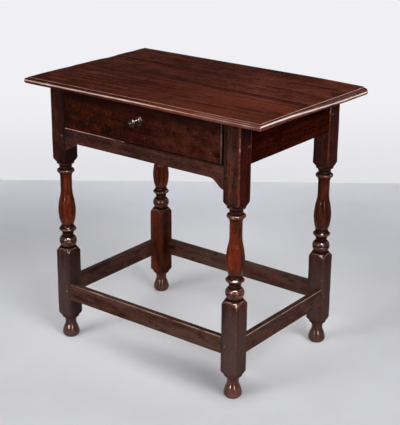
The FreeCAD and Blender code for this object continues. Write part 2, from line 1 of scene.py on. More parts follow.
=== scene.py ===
import json
import logging
import math
from dataclasses import dataclass
from enum import Enum
from functools import cached_property
from typing import Iterable, Sequence

import bmesh
import bpy
from mathutils import Matrix, Vector, noise
from mathutils.bvhtree import BVHTree


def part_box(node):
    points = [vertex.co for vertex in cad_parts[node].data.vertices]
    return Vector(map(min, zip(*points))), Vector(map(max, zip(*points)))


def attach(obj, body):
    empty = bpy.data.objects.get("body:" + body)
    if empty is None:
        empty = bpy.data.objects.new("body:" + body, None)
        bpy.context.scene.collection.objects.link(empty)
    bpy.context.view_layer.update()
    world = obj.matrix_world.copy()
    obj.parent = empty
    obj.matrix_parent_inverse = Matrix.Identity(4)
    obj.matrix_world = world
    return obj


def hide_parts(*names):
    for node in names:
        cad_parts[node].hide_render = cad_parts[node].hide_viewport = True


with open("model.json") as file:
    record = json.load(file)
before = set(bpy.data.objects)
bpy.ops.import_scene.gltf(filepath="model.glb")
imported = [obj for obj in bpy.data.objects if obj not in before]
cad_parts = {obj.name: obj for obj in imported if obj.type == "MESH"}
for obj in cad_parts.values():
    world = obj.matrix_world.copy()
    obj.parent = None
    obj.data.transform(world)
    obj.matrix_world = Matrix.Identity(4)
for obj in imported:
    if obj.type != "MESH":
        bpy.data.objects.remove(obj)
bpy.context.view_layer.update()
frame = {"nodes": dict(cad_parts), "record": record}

log = logging.getLogger("tavern_table")

MM = 0.001
Colour = tuple[float, float, float]


# ---------------------------------------------------------------- shader building
class Wire:
    """One output socket of a shader, with arithmetic that adds Math nodes."""

    def __init__(self, tree: "Tree", socket: bpy.types.NodeSocket) -> None:
        """Keep the socket and the tree that it belongs to."""
        self.tree = tree
        self.socket = socket

    def math(self, operation: str, first: "Wire | float", second: "Wire | float") -> "Wire":
        """Add a Math node for two values, and give its result."""
        return self.tree.node("ShaderNodeMath", {"operation": operation}, {0: first, 1: second})

    def __add__(self, other: "Wire | float") -> "Wire":
        """Sum of two values."""
        return self.math("ADD", self, other)

    __radd__ = __add__

    def __sub__(self, other: "Wire | float") -> "Wire":
        """This value less another."""
        return self.math("SUBTRACT", self, other)

    def __rsub__(self, other: "Wire | float") -> "Wire":
        """Another value less this one."""
        return self.math("SUBTRACT", other, self)

    def __mul__(self, other: "Wire | float") -> "Wire":
        """Product of two values."""
        return self.math("MULTIPLY", self, other)

    __rmul__ = __mul__

    def band(self, low: float, high: float) -> "Wire":
        """Smooth step of this value.

        Args:
            low: Where the mask is 0.
            high: Where it is 1, above or below low.

        Returns:
            A mask from 0 to 1.
        """
        start, end = sorted((low, high))
        return self.tree.node("ShaderNodeMapRange", {"interpolation_type": "SMOOTHSTEP"}, {
            0: self, 1: start, 2: end, 3: float(low > high), 4: float(low < high)})

    def between(self, low: float, rise: float, fall: float, high: float) -> "Wire":
        """Mask that is 1 from rise to fall, and 0 below low and above high."""
        return self.band(low, rise) * self.band(high, fall)


Input = Wire | float | Sequence[float]
Layer = tuple[Input, Input] | tuple[Input, Input, str]


class Tree:
    """Builds the shader of one material or world, node by node."""

    def __init__(self, owner: bpy.types.Material | bpy.types.World) -> None:
        """Start with no nodes.

        Args:
            owner: A new material or world.
        """
        self.owner = owner
        owner.use_nodes = True
        self.nodes = owner.node_tree.nodes
        self.links = owner.node_tree.links
        self.nodes.clear()

    def node(self, kind: str, settings: dict[str, object], inputs: dict[int | str, Input],
             output: int | str = 0) -> Wire:
        """Add a node.

        Args:
            kind: The node's type.
            settings: Its properties, set before its sockets; stops gives a ramp's colour stops.
            inputs: A value or a wire for each named or numbered input socket.
            output: The output socket that is wanted.

        Returns:
            That output socket.
        """
        made = self.nodes.new(kind)
        for key, value in settings.items():
            if key == "stops":
                self.set_stops(made.color_ramp, value)
            else:
                setattr(made, key, value)
        for key, value in inputs.items():
            socket = made.inputs[key]
            if isinstance(value, Wire):
                self.links.new(value.socket, socket)
            else:
                socket.default_value = (*value, 1.0) if socket.type == "RGBA" else value
        return Wire(self, made.outputs[output])

    @staticmethod
    def set_stops(ramp: bpy.types.ColorRamp, stops: Sequence[tuple[float, Colour]]) -> None:
        """Give a ramp its colour stops.

        Args:
            ramp: The ramp of a new node.
            stops: Places and colours, in order.
        """
        while len(ramp.elements) < len(stops):
            ramp.elements.new(1.0)
        for element, (place, colour) in zip(ramp.elements, stops):
            element.position = place
            element.color = (*colour, 1.0)

    @cached_property
    def place(self) -> Wire:
        """Object coordinates, in metres."""
        return self.node("ShaderNodeTexCoord", {}, {}, "Object")

    def axis(self, letter: str) -> Wire:
        """X, Y or Z of the object coordinates."""
        return self.node("ShaderNodeSeparateXYZ", {}, {"Vector": self.place}, letter)

    def mark(self, name: str) -> Wire:
        """What the mesh notes at each point: edge for its wear, grime, painted shade and painted highlight,
        turned where a lathe shaped it.
        """
        return self.node("ShaderNodeAttribute", {"attribute_name": name}, {}, "Fac")

    def mix(self, share: Input, first: Input, second: Input, blend: str = "MIX") -> Wire:
        """Mix two colours; share is how much of the second one shows."""
        settings = {"data_type": "RGBA", "blend_type": blend}
        return self.node("ShaderNodeMix", settings, {0: share, 6: first, 7: second}, 2)

    def lay(self, colour: Input, layers: Iterable[Layer]) -> Wire:
        """Lay colours over a colour.

        Args:
            colour: The lowest colour.
            layers: Share, colour and, where it isn't a plain mix, blend of each layer, in order.

        Returns:
            The colour that shows.
        """
        for share, over, *blend in layers:
            colour = self.mix(share, colour, over, *blend)
        return colour

    def noise(self, stretch: Sequence[float], shift: Sequence[float], detail: float,
              roughness: float = 0.55, distortion: float = 0.0) -> Wire:
        """Noise over stretched and shifted object coordinates.

        Args:
            stretch: Features per metre along X, Y and Z.
            shift: An offset, so that no two patterns are the same.
            detail: Octaves of the noise.
            roughness: Strength of the fine octaves.
            distortion: How much the pattern swirls.

        Returns:
            The noise, around 0.5.
        """
        where = self.node("ShaderNodeMapping", {}, {
            "Vector": self.place, "Location": shift, "Scale": stretch})
        return self.node("ShaderNodeTexNoise", {}, {
            "Vector": where, "Scale": 1.0, "Detail": detail, "Roughness": roughness,
            "Distortion": distortion})

    def bump(self, height: Wire, distance: float, strength: float) -> Wire:
        """Normal of a height from 0 to 1; distance is what 1 stands for, in metres."""
        return self.node("ShaderNodeBump", {}, {
            "Height": height, "Distance": distance, "Strength": strength})

    def finish(self, shader: Wire) -> bpy.types.Material | bpy.types.World:
        """End the tree in a shader.

        Args:
            shader: What the surface or the surroundings show.

        Returns:
            The finished material or world.
        """
        kind = "World" if isinstance(self.owner, bpy.types.World) else "Material"
        end = self.nodes.new("ShaderNodeOutput" + kind)
        self.links.new(shader.socket, end.inputs["Surface"])
        return self.owner


# ---------------------------------------------------------------- finishes
class Grain(Enum):
    """The axis that a piece's grain runs along."""

    ALONG_X = 0
    ALONG_Y = 1
    ALONG_Z = 2

    def stretch(self, along: float, across: float) -> list[float]:
        """Features per metre on each axis, from those along and across the grain."""
        return [along if axis == self.value else across for axis in range(3)]


@dataclass(frozen=True)
class Palette:
    """The colours of one piece of old oak."""

    dark: Colour
    middle: Colour
    pale: Colour
    rubbed: Colour
    grime_and_shade: Colour = (0.006, 0.003, 0.002)

    def stops(self) -> list[tuple[float, Colour]]:
        """Ramp stops from dark to pale."""
        return [(0.33, self.dark), (0.5, self.middle), (0.68, self.pale)]

    def toned(self, level: float) -> "Palette":
        """The same wood, its colours multiplied by a level."""
        shades = [tuple(c * level for c in shade) for shade in (self.dark, self.middle, self.pale)]
        return Palette(*shades, self.rubbed, self.grime_and_shade)


@dataclass(frozen=True)
class Oak:
    """Old oak under wax: streaks, fibre, pores, patches, rubbed arrises, grime, painted shade and a painted
    highlight.
    """

    UNDER_TOP = (0.625, 0.680)  # heights between which the painted shade under the top deepens
    COAT_IOR = 1.28
    RELIEF = 0.6 * MM
    RELIEF_SHARE = 0.4

    name: str
    grain: Grain
    palette: Palette
    shift: float
    roughness: float = 0.5
    specular: float = 0.0
    coat: float = 0.25
    streaks: float = 0.6
    patches: float = 0.5
    rub: float = 0.6
    evenness: float = 0.0
    shade: float = 0.0
    coat_roughness: float = 0.2
    painted_highlight: Colour = (0.78, 0.69, 0.65)

    def stains(self, tree: Tree) -> Sequence[Layer]:
        """Layers over the plain wood, where a piece has its own marks."""
        return ()

    def gloss(self, tree: Tree) -> Wire | float:
        """How much of the coat shows."""
        return self.coat

    def tooled(self, tree: Tree, relief: Wire) -> Wire:
        """The relief, with a piece's own tool marks."""
        return relief

    def material(self) -> bpy.types.Material:
        """Build the material.

        Returns:
            The finished material.
        """
        tree = Tree(bpy.data.materials.new(self.name))
        shift = (self.shift, 1.7 * self.shift, 2.3 * self.shift)
        broad = tree.noise(self.grain.stretch(3, 13), shift, 3)
        streak = tree.noise(self.grain.stretch(2.8, 80), shift, 5, 0.65, 0.3)
        fibre = tree.noise(self.grain.stretch(18, 700), shift, 3, 0.6)
        pore = tree.noise(self.grain.stretch(70, 1500), shift, 1).band(0.6, 0.74)
        cloud = tree.noise((17, 17, 17), shift, 5, 0.62)
        mottle = tree.noise(self.grain.stretch(26, 95), shift, 5, 0.75)
        fleck = tree.noise(self.grain.stretch(120, 300), shift, 3, 0.7)
        tone = streak * self.streaks + broad * self.patches + fibre * 0.25 + mottle * 0.5 + fleck * 0.6
        tone = tone - (0.175 + 0.5 * (self.streaks + self.patches))

        edge = tree.mark("edge")
        spots = cloud + mottle * 0.4 + self.evenness
        handled = edge.band(0.1, 0.6) * spots.band(0.5, 0.8)
        rubbed = edge.band(0.5, 0.95) * spots.band(0.55, 0.85) * self.rub
        # painted highlight where the edge value passes 1, on the right end's bead
        painted_highlight_mask = edge.band(1.0, 1.35) * spots.band(0.45, 0.75)
        # below 0 the edge value is grime, and painted shade under the bead, in gaps and on inward faces
        grime_and_shade_mask = (0.0 - edge).band(0.05, 0.8)

        wood = tree.node("ShaderNodeValToRGB", {"stops": self.palette.stops()}, {0: tone})
        colour = tree.lay(wood, (
            (cloud.band(0.5, 0.72) * 0.6, self.palette.dark),
            (cloud.band(0.46, 0.3) * 0.45, self.palette.pale),
            *self.stains(tree),
            # painted shade under the top's overhang
            (tree.axis("Z").band(*self.UNDER_TOP) * self.shade, self.palette.dark),
            (pore * 0.65, self.palette.grime_and_shade),
            (handled * 0.6, self.palette.pale),
            (rubbed, self.palette.rubbed),
            (painted_highlight_mask * 0.8, self.painted_highlight),
            (grime_and_shade_mask * 0.8, self.palette.grime_and_shade)))
        sheen = self.roughness + (cloud - 0.5) * 0.3 + (fibre - 0.5) * 0.2 + grime_and_shade_mask * 0.2 + pore * 0.2
        relief = self.tooled(tree, fibre * 0.5 + streak * 0.7 - pore * 0.8)
        return tree.finish(tree.node("ShaderNodeBsdfPrincipled", {}, {
            "Base Color": colour, "Roughness": sheen,
            "Normal": tree.bump(relief, self.RELIEF, self.RELIEF_SHARE),
            "Coat Weight": self.gloss(tree), "Coat Roughness": self.coat_roughness,
            "Coat IOR": self.COAT_IOR, "Specular IOR Level": self.specular}))


@dataclass(frozen=True)
class LegOak(Oak):
    """A leg's oak: redder on the baluster, dusty and scuffed towards the floor, with painted sheen on the
    upper block and painted shade on the right legs' outer faces.
    """

    # Heights of the leg's forms: where a mask is 0 and where it is 1, or 0, 1, 1 and 0 again.
    FOOT = (0.056, 0.020)
    GLOSSY_FOOT = (0.055, 0.045)
    ABOVE_FOOT = (0.055, 0.075)
    SCUFFED = (0.32, 0.25)
    DUSTY = (0.30, 0.16)
    GLOWING_BLOCK = (0.30, 0.22)
    LOW_RINGS = (0.258, 0.264, 0.325, 0.335)
    BALUSTER = (0.30, 0.33, 0.44, 0.475)
    DULL_BALUSTER = (0.33, 0.345, 0.46, 0.475)
    HIGH_RING = (0.462, 0.470)
    BELOW_BLOCK = (0.506, 0.500)
    SHEEN_BLOCK = (0.49, 0.52)
    UPPER_BLOCK = (0.50, 0.53)
    RIGHT_FACE = (0.2926, 0.2936)  # the x of the right-hand legs' outer faces

    glow: Colour = (0.158, 0.0215, 0.0056)
    dust: Colour = (0.060, 0.037, 0.033)
    polished: Colour = (0.115, 0.055, 0.036)
    painted_sheen: Colour = (0.034, 0.0185, 0.0125)
    # tan of worn ring crests, which also stands for their painted highlight
    tan: Colour = (0.22, 0.078, 0.045)
    right_shade_low: Colour = (0.86, 0.88, 0.92)
    right_shade_high: Colour = (0.50, 0.20, 0.14)
    right_shade_under_top: Colour = (0.16, 0.07, 0.05)
    dusty: float = 0.8
    warmth: float = 0.75
    ember: float = 0.0
    arris: float = 0.4
    deep: float = 1.0
    hazy: float = 0.75

    def stains(self, tree: Tree) -> Sequence[Layer]:
        """Warm the baluster, dust the lower block, paint sheen on the upper block and paint shade on the
        right face.

        Args:
            tree: The tree under construction.

        Returns:
            The layers, from the lowest up.
        """
        height, edge = tree.axis("Z"), tree.mark("edge")
        patch = tree.noise((45, 45, 14), (7, 5, 3), 4)
        lines = tree.noise((130, 130, 9), (1, 8, 5), 3)
        sheen_noise = tree.noise((75, 75, 30), (3, 6, 9), 4, 0.65)
        speck = tree.noise((330, 330, 330), (2, 4, 6), 2)
        ring_wear_and_highlight = tree.noise((60, 60, 260), (9, 2, 7), 3, 0.65).band(0.44, 0.60)
        baluster = height.between(*self.BALUSTER)
        rings = height.between(*self.LOW_RINGS) + height.band(*self.HIGH_RING)
        rings = rings * height.band(*self.BELOW_BLOCK)
        arris = edge.band(0.1, 0.45) * height.band(*self.UPPER_BLOCK) * patch.band(0.2, 0.5)
        dust = (height + (patch - 0.5) * 0.12).band(*self.DUSTY) * height.band(*self.ABOVE_FOOT)
        # painted shade for the right legs' outer faces, deeper up the leg and deepest under the top
        deep = tree.lay(self.right_shade_low, (
            (height.band(0.3, 0.5), self.right_shade_high), (height.band(0.63, 0.68) * 0.7, self.right_shade_under_top)))
        return (
            (baluster * patch.band(0.28, 0.62) * self.warmth, self.glow),
            (baluster * lines.band(0.48, 0.66) * 0.75, self.palette.dark),
            (rings * 0.5, self.palette.dark),
            # tan wear with a painted highlight on the rings' crests
            (ring_wear_and_highlight * edge.band(0.0, 0.25) * rings * 0.65, self.tan),
            (arris * self.arris, self.glow),
            (height.band(*self.GLOWING_BLOCK) * patch.band(0.35, 0.6) * self.ember, self.glow),
            # painted sheen: a greyish haze over the upper block
            (sheen_noise.band(0.46, 0.62) * height.band(*self.SHEEN_BLOCK) * self.hazy, self.painted_sheen),
            (dust * self.dusty, self.dust),
            (height.band(*self.FOOT) * speck.band(0.35, 0.7) * 0.8, self.polished),
            # painted shade on the right legs' outer faces
            (tree.axis("X").band(*self.RIGHT_FACE) * self.deep, deep, "MULTIPLY"),
            (speck.band(0.70, 0.80) * height.band(*self.SCUFFED) * 0.4, self.palette.rubbed))

    def gloss(self, tree: Tree) -> Wire | float:
        """Rings, balls and feet are the glossiest; hollows, balusters and blocks are dull.

        Args:
            tree: The tree under construction.

        Returns:
            How much of the coat shows.
        """
        height = tree.axis("Z")
        convex = tree.mark("edge").band(-0.3, 0.05) + height.band(*self.GLOSSY_FOOT)
        dull = height.between(*self.DULL_BALUSTER) * 0.75
        shine = height.band(0.070, 0.060) * 0.25 + 0.6
        return (tree.mark("turned") * convex.band(0.0, 1.0) * shine + 0.15) * (1.0 - dull) * self.coat

    def tooled(self, tree: Tree, relief: Wire) -> Wire:
        """The relief, with the fine rings that a lathe leaves on turned wood."""
        lathe = tree.noise((14, 14, 140), (4, 7, 2), 2, 0.6)
        return relief + tree.mark("turned") * lathe * 6.0


@dataclass(frozen=True)
class StretcherOak(Oak):
    """A stretcher's oak, dusty and scuffed by feet."""

    dust: Colour = (0.071, 0.039, 0.028)
    ruddy: Colour = (0.095, 0.030, 0.018)
    dusty: float = 0.75

    def stains(self, tree: Tree) -> Sequence[Layer]:
        """Dust, red and dark patches.

        Args:
            tree: The tree under construction.

        Returns:
            The layers, from the lowest up.
        """
        patch = tree.noise(self.grain.stretch(5, 40), (2, 9, 4), 4)
        blotch = tree.noise(self.grain.stretch(28, 70), (6, 3, 8), 4, 0.6)
        return (
            (patch.band(0.3, 0.62) * self.dusty, self.dust),
            (blotch.band(0.52, 0.70) * 0.75, self.ruddy),
            (blotch.band(0.47, 0.30) * 0.65, self.palette.dark))


@dataclass(frozen=True)
class TopOak(Oak):
    """The top's oak: a dark streak along the joint, pale scratches and painted light towards the right."""

    SEAM_RISE = -0.0959
    SEAM_MIDDLE = 7.75 * MM

    streak: Colour = (0.014, 0.006, 0.005)
    ruddy: Colour = (0.125, 0.026, 0.012)
    paler_and_painted_light: Colour = (1.50, 1.46, 1.36)

    def stains(self, tree: Tree) -> Sequence[Layer]:
        """Redden the front board, darken the joint, scatter scratches, pale the left end and paint light
        over the right half, most on the rear board.

        Args:
            tree: The tree under construction.

        Returns:
            The layers, from the lowest up.
        """
        x = tree.axis("X")
        patch = tree.noise((4, 22, 9), (4, 1, 3), 4)
        scratch = tree.noise((30, 420, 30), (1, 6, 2), 2)
        off_seam = tree.axis("Y") - x * self.SEAM_RISE - self.SEAM_MIDDLE + (patch - 0.5) * 0.05
        front = off_seam.band(0.03, -0.05) * patch.band(0.3, 0.6) * x.band(-0.30, 0.25)
        joint = off_seam.between(-0.030, -0.012, -0.003, 0.006) * x.band(-0.30, -0.05)
        left = x.band(-0.13, -0.28) * 0.2
        return (
            (front * 0.65, self.ruddy),
            (joint * 0.6, self.streak),
            (scratch.band(0.72, 0.80) * 0.5, self.palette.rubbed),
            # paler left end; painted light over the right half, most on the rear board
            (left + x.band(-0.05, 0.25) * (off_seam.band(-0.15, 0.03) * 0.5 + 0.5), self.paler_and_painted_light, "MULTIPLY"))

    def gloss(self, tree: Tree) -> Wire | float:
        """The moulding is polished by hands and cloths, and the flat is not."""
        return (tree.mark("edge").band(0.1, 0.6) * 0.9 + 0.1) * self.coat


@dataclass(frozen=True)
class DrawerFrontOak(Oak):
    """The drawer front's oak: warm at its left, faded at its right, worn at its edge, with painted shade
    below the top and in the gaps at its ends.
    """

    LEFT = -246.7 * MM
    RIGHT = 245.3 * MM
    UPPER = 691.0 * MM

    warm: Colour = (0.052, 0.0088, 0.0012)
    faded: Colour = (0.068, 0.0175, 0.0095)
    olive: Colour = (0.012, 0.0042, 0.0014)
    worn: Colour = (0.36, 0.21, 0.18)
    greyed: Colour = (0.052, 0.026, 0.019)

    def stains(self, tree: Tree) -> Sequence[Layer]:
        """Warm one end, scatter marks, wear the edge, and paint shade below the top and in the gaps at both
        ends.

        Args:
            tree: The tree under construction.

        Returns:
            The layers, from the lowest up.
        """
        x, z = tree.axis("X"), tree.axis("Z")
        patch = tree.noise((30, 30, 50), (5, 2, 1), 5, 0.65)
        speck = tree.noise((260, 260, 200), (8, 4, 6), 2)
        mar = tree.noise((200, 200, 75), (7, 1, 5), 4, 0.7)
        end = x.band(0.02, -0.12)
        rim = x.band(self.RIGHT - 7.5 * MM, self.RIGHT - 5.5 * MM) * patch.band(0.38, 0.58)
        # painted shade below the top's overhang
        shade = z.band(self.UPPER - 40 * MM, self.UPPER - 14 * MM) * patch.band(0.2, 0.5)
        # painted shade in the gaps beside the drawer's ends
        gap_shade = x.band(self.RIGHT - 4.0 * MM, self.RIGHT - 2.8 * MM)
        gap_shade = gap_shade + x.band(self.LEFT + 0.6 * MM, self.LEFT + 0.2 * MM)
        return (
            (end * patch.band(0.50, 0.34) * 0.7, self.olive),
            (end * x.band(-0.25, -0.20) * patch.band(0.46, 0.66) * 0.65, self.warm),
            (x.band(0.0, 0.16) * patch.band(0.66, 0.34) * 0.7, self.faded),
            (speck.band(0.68, 0.78) * 0.45, self.palette.rubbed),
            (mar.band(0.54, 0.74) * 0.5, self.greyed),
            (mar.band(0.46, 0.28) * 0.7, self.palette.dark),
            (rim * (z.band(0.60, 0.69) * 0.4 + 0.2), self.worn),
            (shade * 0.75, self.palette.dark),
            (gap_shade, self.palette.grime_and_shade))


@dataclass(frozen=True)
class DarkKnobWood:
    """Turned wood, polished almost black by hands."""

    name: str = "polished_dark_knob"
    dark: Colour = (0.007, 0.0022, 0.0012)
    pale: Colour = (0.040, 0.010, 0.005)

    def material(self) -> bpy.types.Material:
        """Build the material.

        Returns:
            The finished material.
        """
        tree = Tree(bpy.data.materials.new(self.name))
        streak = tree.noise(Grain.ALONG_Y.stretch(40, 260), (3, 1, 2), 3)
        dents = tree.noise((330, 330, 330), (5, 2, 7), 2)
        stops = [(0.3, self.dark), (0.7, self.pale)]
        return tree.finish(tree.node("ShaderNodeBsdfPrincipled", {}, {
            "Base Color": tree.node("ShaderNodeValToRGB", {"stops": stops}, {0: streak}),
            "Roughness": 0.4 + streak * 0.12, "Normal": tree.bump(dents, 0.4 * MM, 1.0),
            "Coat Weight": 1.0, "Coat Roughness": 0.05, "Coat IOR": 1.26, "Specular IOR Level": 0.0}))


@dataclass(frozen=True)
class WroughtIron:
    """Old iron nails, dull and dark."""

    name: str = "old_iron"
    iron: Colour = (0.03, 0.027, 0.026)
    rust: Colour = (0.09, 0.045, 0.025)

    def material(self) -> bpy.types.Material:
        """Build the material.

        Returns:
            The finished material.
        """
        tree = Tree(bpy.data.materials.new(self.name))
        patch = tree.noise((500, 500, 500), (1, 2, 3), 3)
        stops = [(0.35, self.iron), (0.7, self.rust)]
        return tree.finish(tree.node("ShaderNodeBsdfPrincipled", {}, {
            "Base Color": tree.node("ShaderNodeValToRGB", {"stops": stops}, {0: patch}),
            "Metallic": 0.7, "Roughness": 0.5 + patch * 0.3, "Normal": tree.bump(patch, 0.2 * MM, 0.5)}))


# ---------------------------------------------------------------- mesh building
def unevenness(place: Vector, size: float, seed: float) -> float:
    """Smooth unevenness from about -1 to 1; size is one wave's length, and seed shifts the pattern."""
    return noise.noise(place / size + Vector((seed, 2.0 * seed, -seed)))


def clamp(value: float, low: float = 0.0, high: float = 1.0) -> float:
    """A value kept between two limits."""
    return max(low, min(high, value))


def fading(distance: float, reach: float) -> float:
    """A weight that falls from 1 at no distance to 0 at a reach and beyond it."""
    return max(0.0, 1 - distance / reach)


class Skin:
    """A mesh under construction; each point also carries an edge value for wear, grime, painted shade and
    painted highlight, and whether turned.
    """

    def __init__(self) -> None:
        """Start with no points."""
        self.points: list[Vector] = []
        self.edge: list[float] = []
        self.turned: list[float] = []
        self.faces: list[tuple[int, ...]] = []

    def row(self, points: Sequence[Vector], edge: Sequence[float], turned: float = 0.0) -> list[int]:
        """Add points.

        Args:
            points: Their places.
            edge: From -1, grime and painted shade, to 1, rubbed and painted highlight.
            turned: 1 where the lathe shaped the wood.

        Returns:
            Their numbers.
        """
        start = len(self.points)
        self.points.extend(points)
        self.edge.extend(edge)
        self.turned.extend([turned] * len(points))
        return list(range(start, len(self.points)))

    def bridge(self, rows: Sequence[Sequence[int]], closed: bool) -> None:
        """Join each row to the next with four-sided faces.

        Args:
            rows: The rows' point numbers, each with as many points.
            closed: Whether the rows are rings.
        """
        for first, second in zip(rows, rows[1:]):
            count = len(first)
            for i in range(count if closed else count - 1):
                j = (i + 1) % count
                self.faces.append((first[i], first[j], second[j], second[i]))

    def tube(self, rings: Sequence[Sequence[int]]) -> None:
        """Join rings in order, and close both ends with triangles about their middles.

        Args:
            rings: The rings' point numbers.
        """
        self.bridge(rings, True)
        for ring in (rings[0], rings[-1]):
            middle = sum((self.points[i] for i in ring), Vector()) / len(ring)
            centre = self.row([middle], [0.0])[0]
            for i, here in enumerate(ring):
                self.faces.append((here, ring[(i + 1) % len(ring)], centre))

    def build(self, name: str, crease: float) -> bpy.types.Object:
        """Make the object.

        Args:
            name: The object's name.
            crease: The angle, in degrees, from which an edge looks sharp.

        Returns:
            The object, in the scene.
        """
        mesh = bpy.data.meshes.new(name)
        mesh.from_pydata([tuple(p) for p in self.points], [], self.faces)
        for label, values in (("edge", self.edge), ("turned", self.turned)):
            mesh.attributes.new(label, "FLOAT", "POINT").data.foreach_set("value", values)
        work = bmesh.new()
        work.from_mesh(mesh)
        bmesh.ops.remove_doubles(work, verts=work.verts, dist=1e-6)
        bmesh.ops.recalc_face_normals(work, faces=work.faces)
        work.to_mesh(mesh)
        work.free()
        mesh.shade_smooth()
        mesh.set_sharp_from_angle(angle=math.radians(crease))
        return link(name, mesh)


def link(name: str, data: bpy.types.ID) -> bpy.types.Object:
    """Put a mesh, lamp or camera into the scene as an object."""
    made = bpy.data.objects.new(name, data)
    bpy.context.scene.collection.objects.link(made)
    return made


def rays_of(node: str) -> BVHTree:
    """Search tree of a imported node's mesh."""
    mesh = frame["nodes"][node].data
    return BVHTree.FromPolygons([v.co for v in mesh.vertices], [p.vertices for p in mesh.polygons])


def settle(piece: bpy.types.Object, material: bpy.types.Material, body: str, slot: str,
           *nodes: str) -> None:
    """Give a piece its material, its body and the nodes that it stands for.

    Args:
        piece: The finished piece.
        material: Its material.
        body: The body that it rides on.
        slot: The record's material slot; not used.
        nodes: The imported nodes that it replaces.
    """
    piece.data.materials.append(material)
    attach(piece, body)
    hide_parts(*nodes)
    log.info("%s: %d faces, for %s", piece.name, len(piece.data.polygons), ", ".join(nodes))


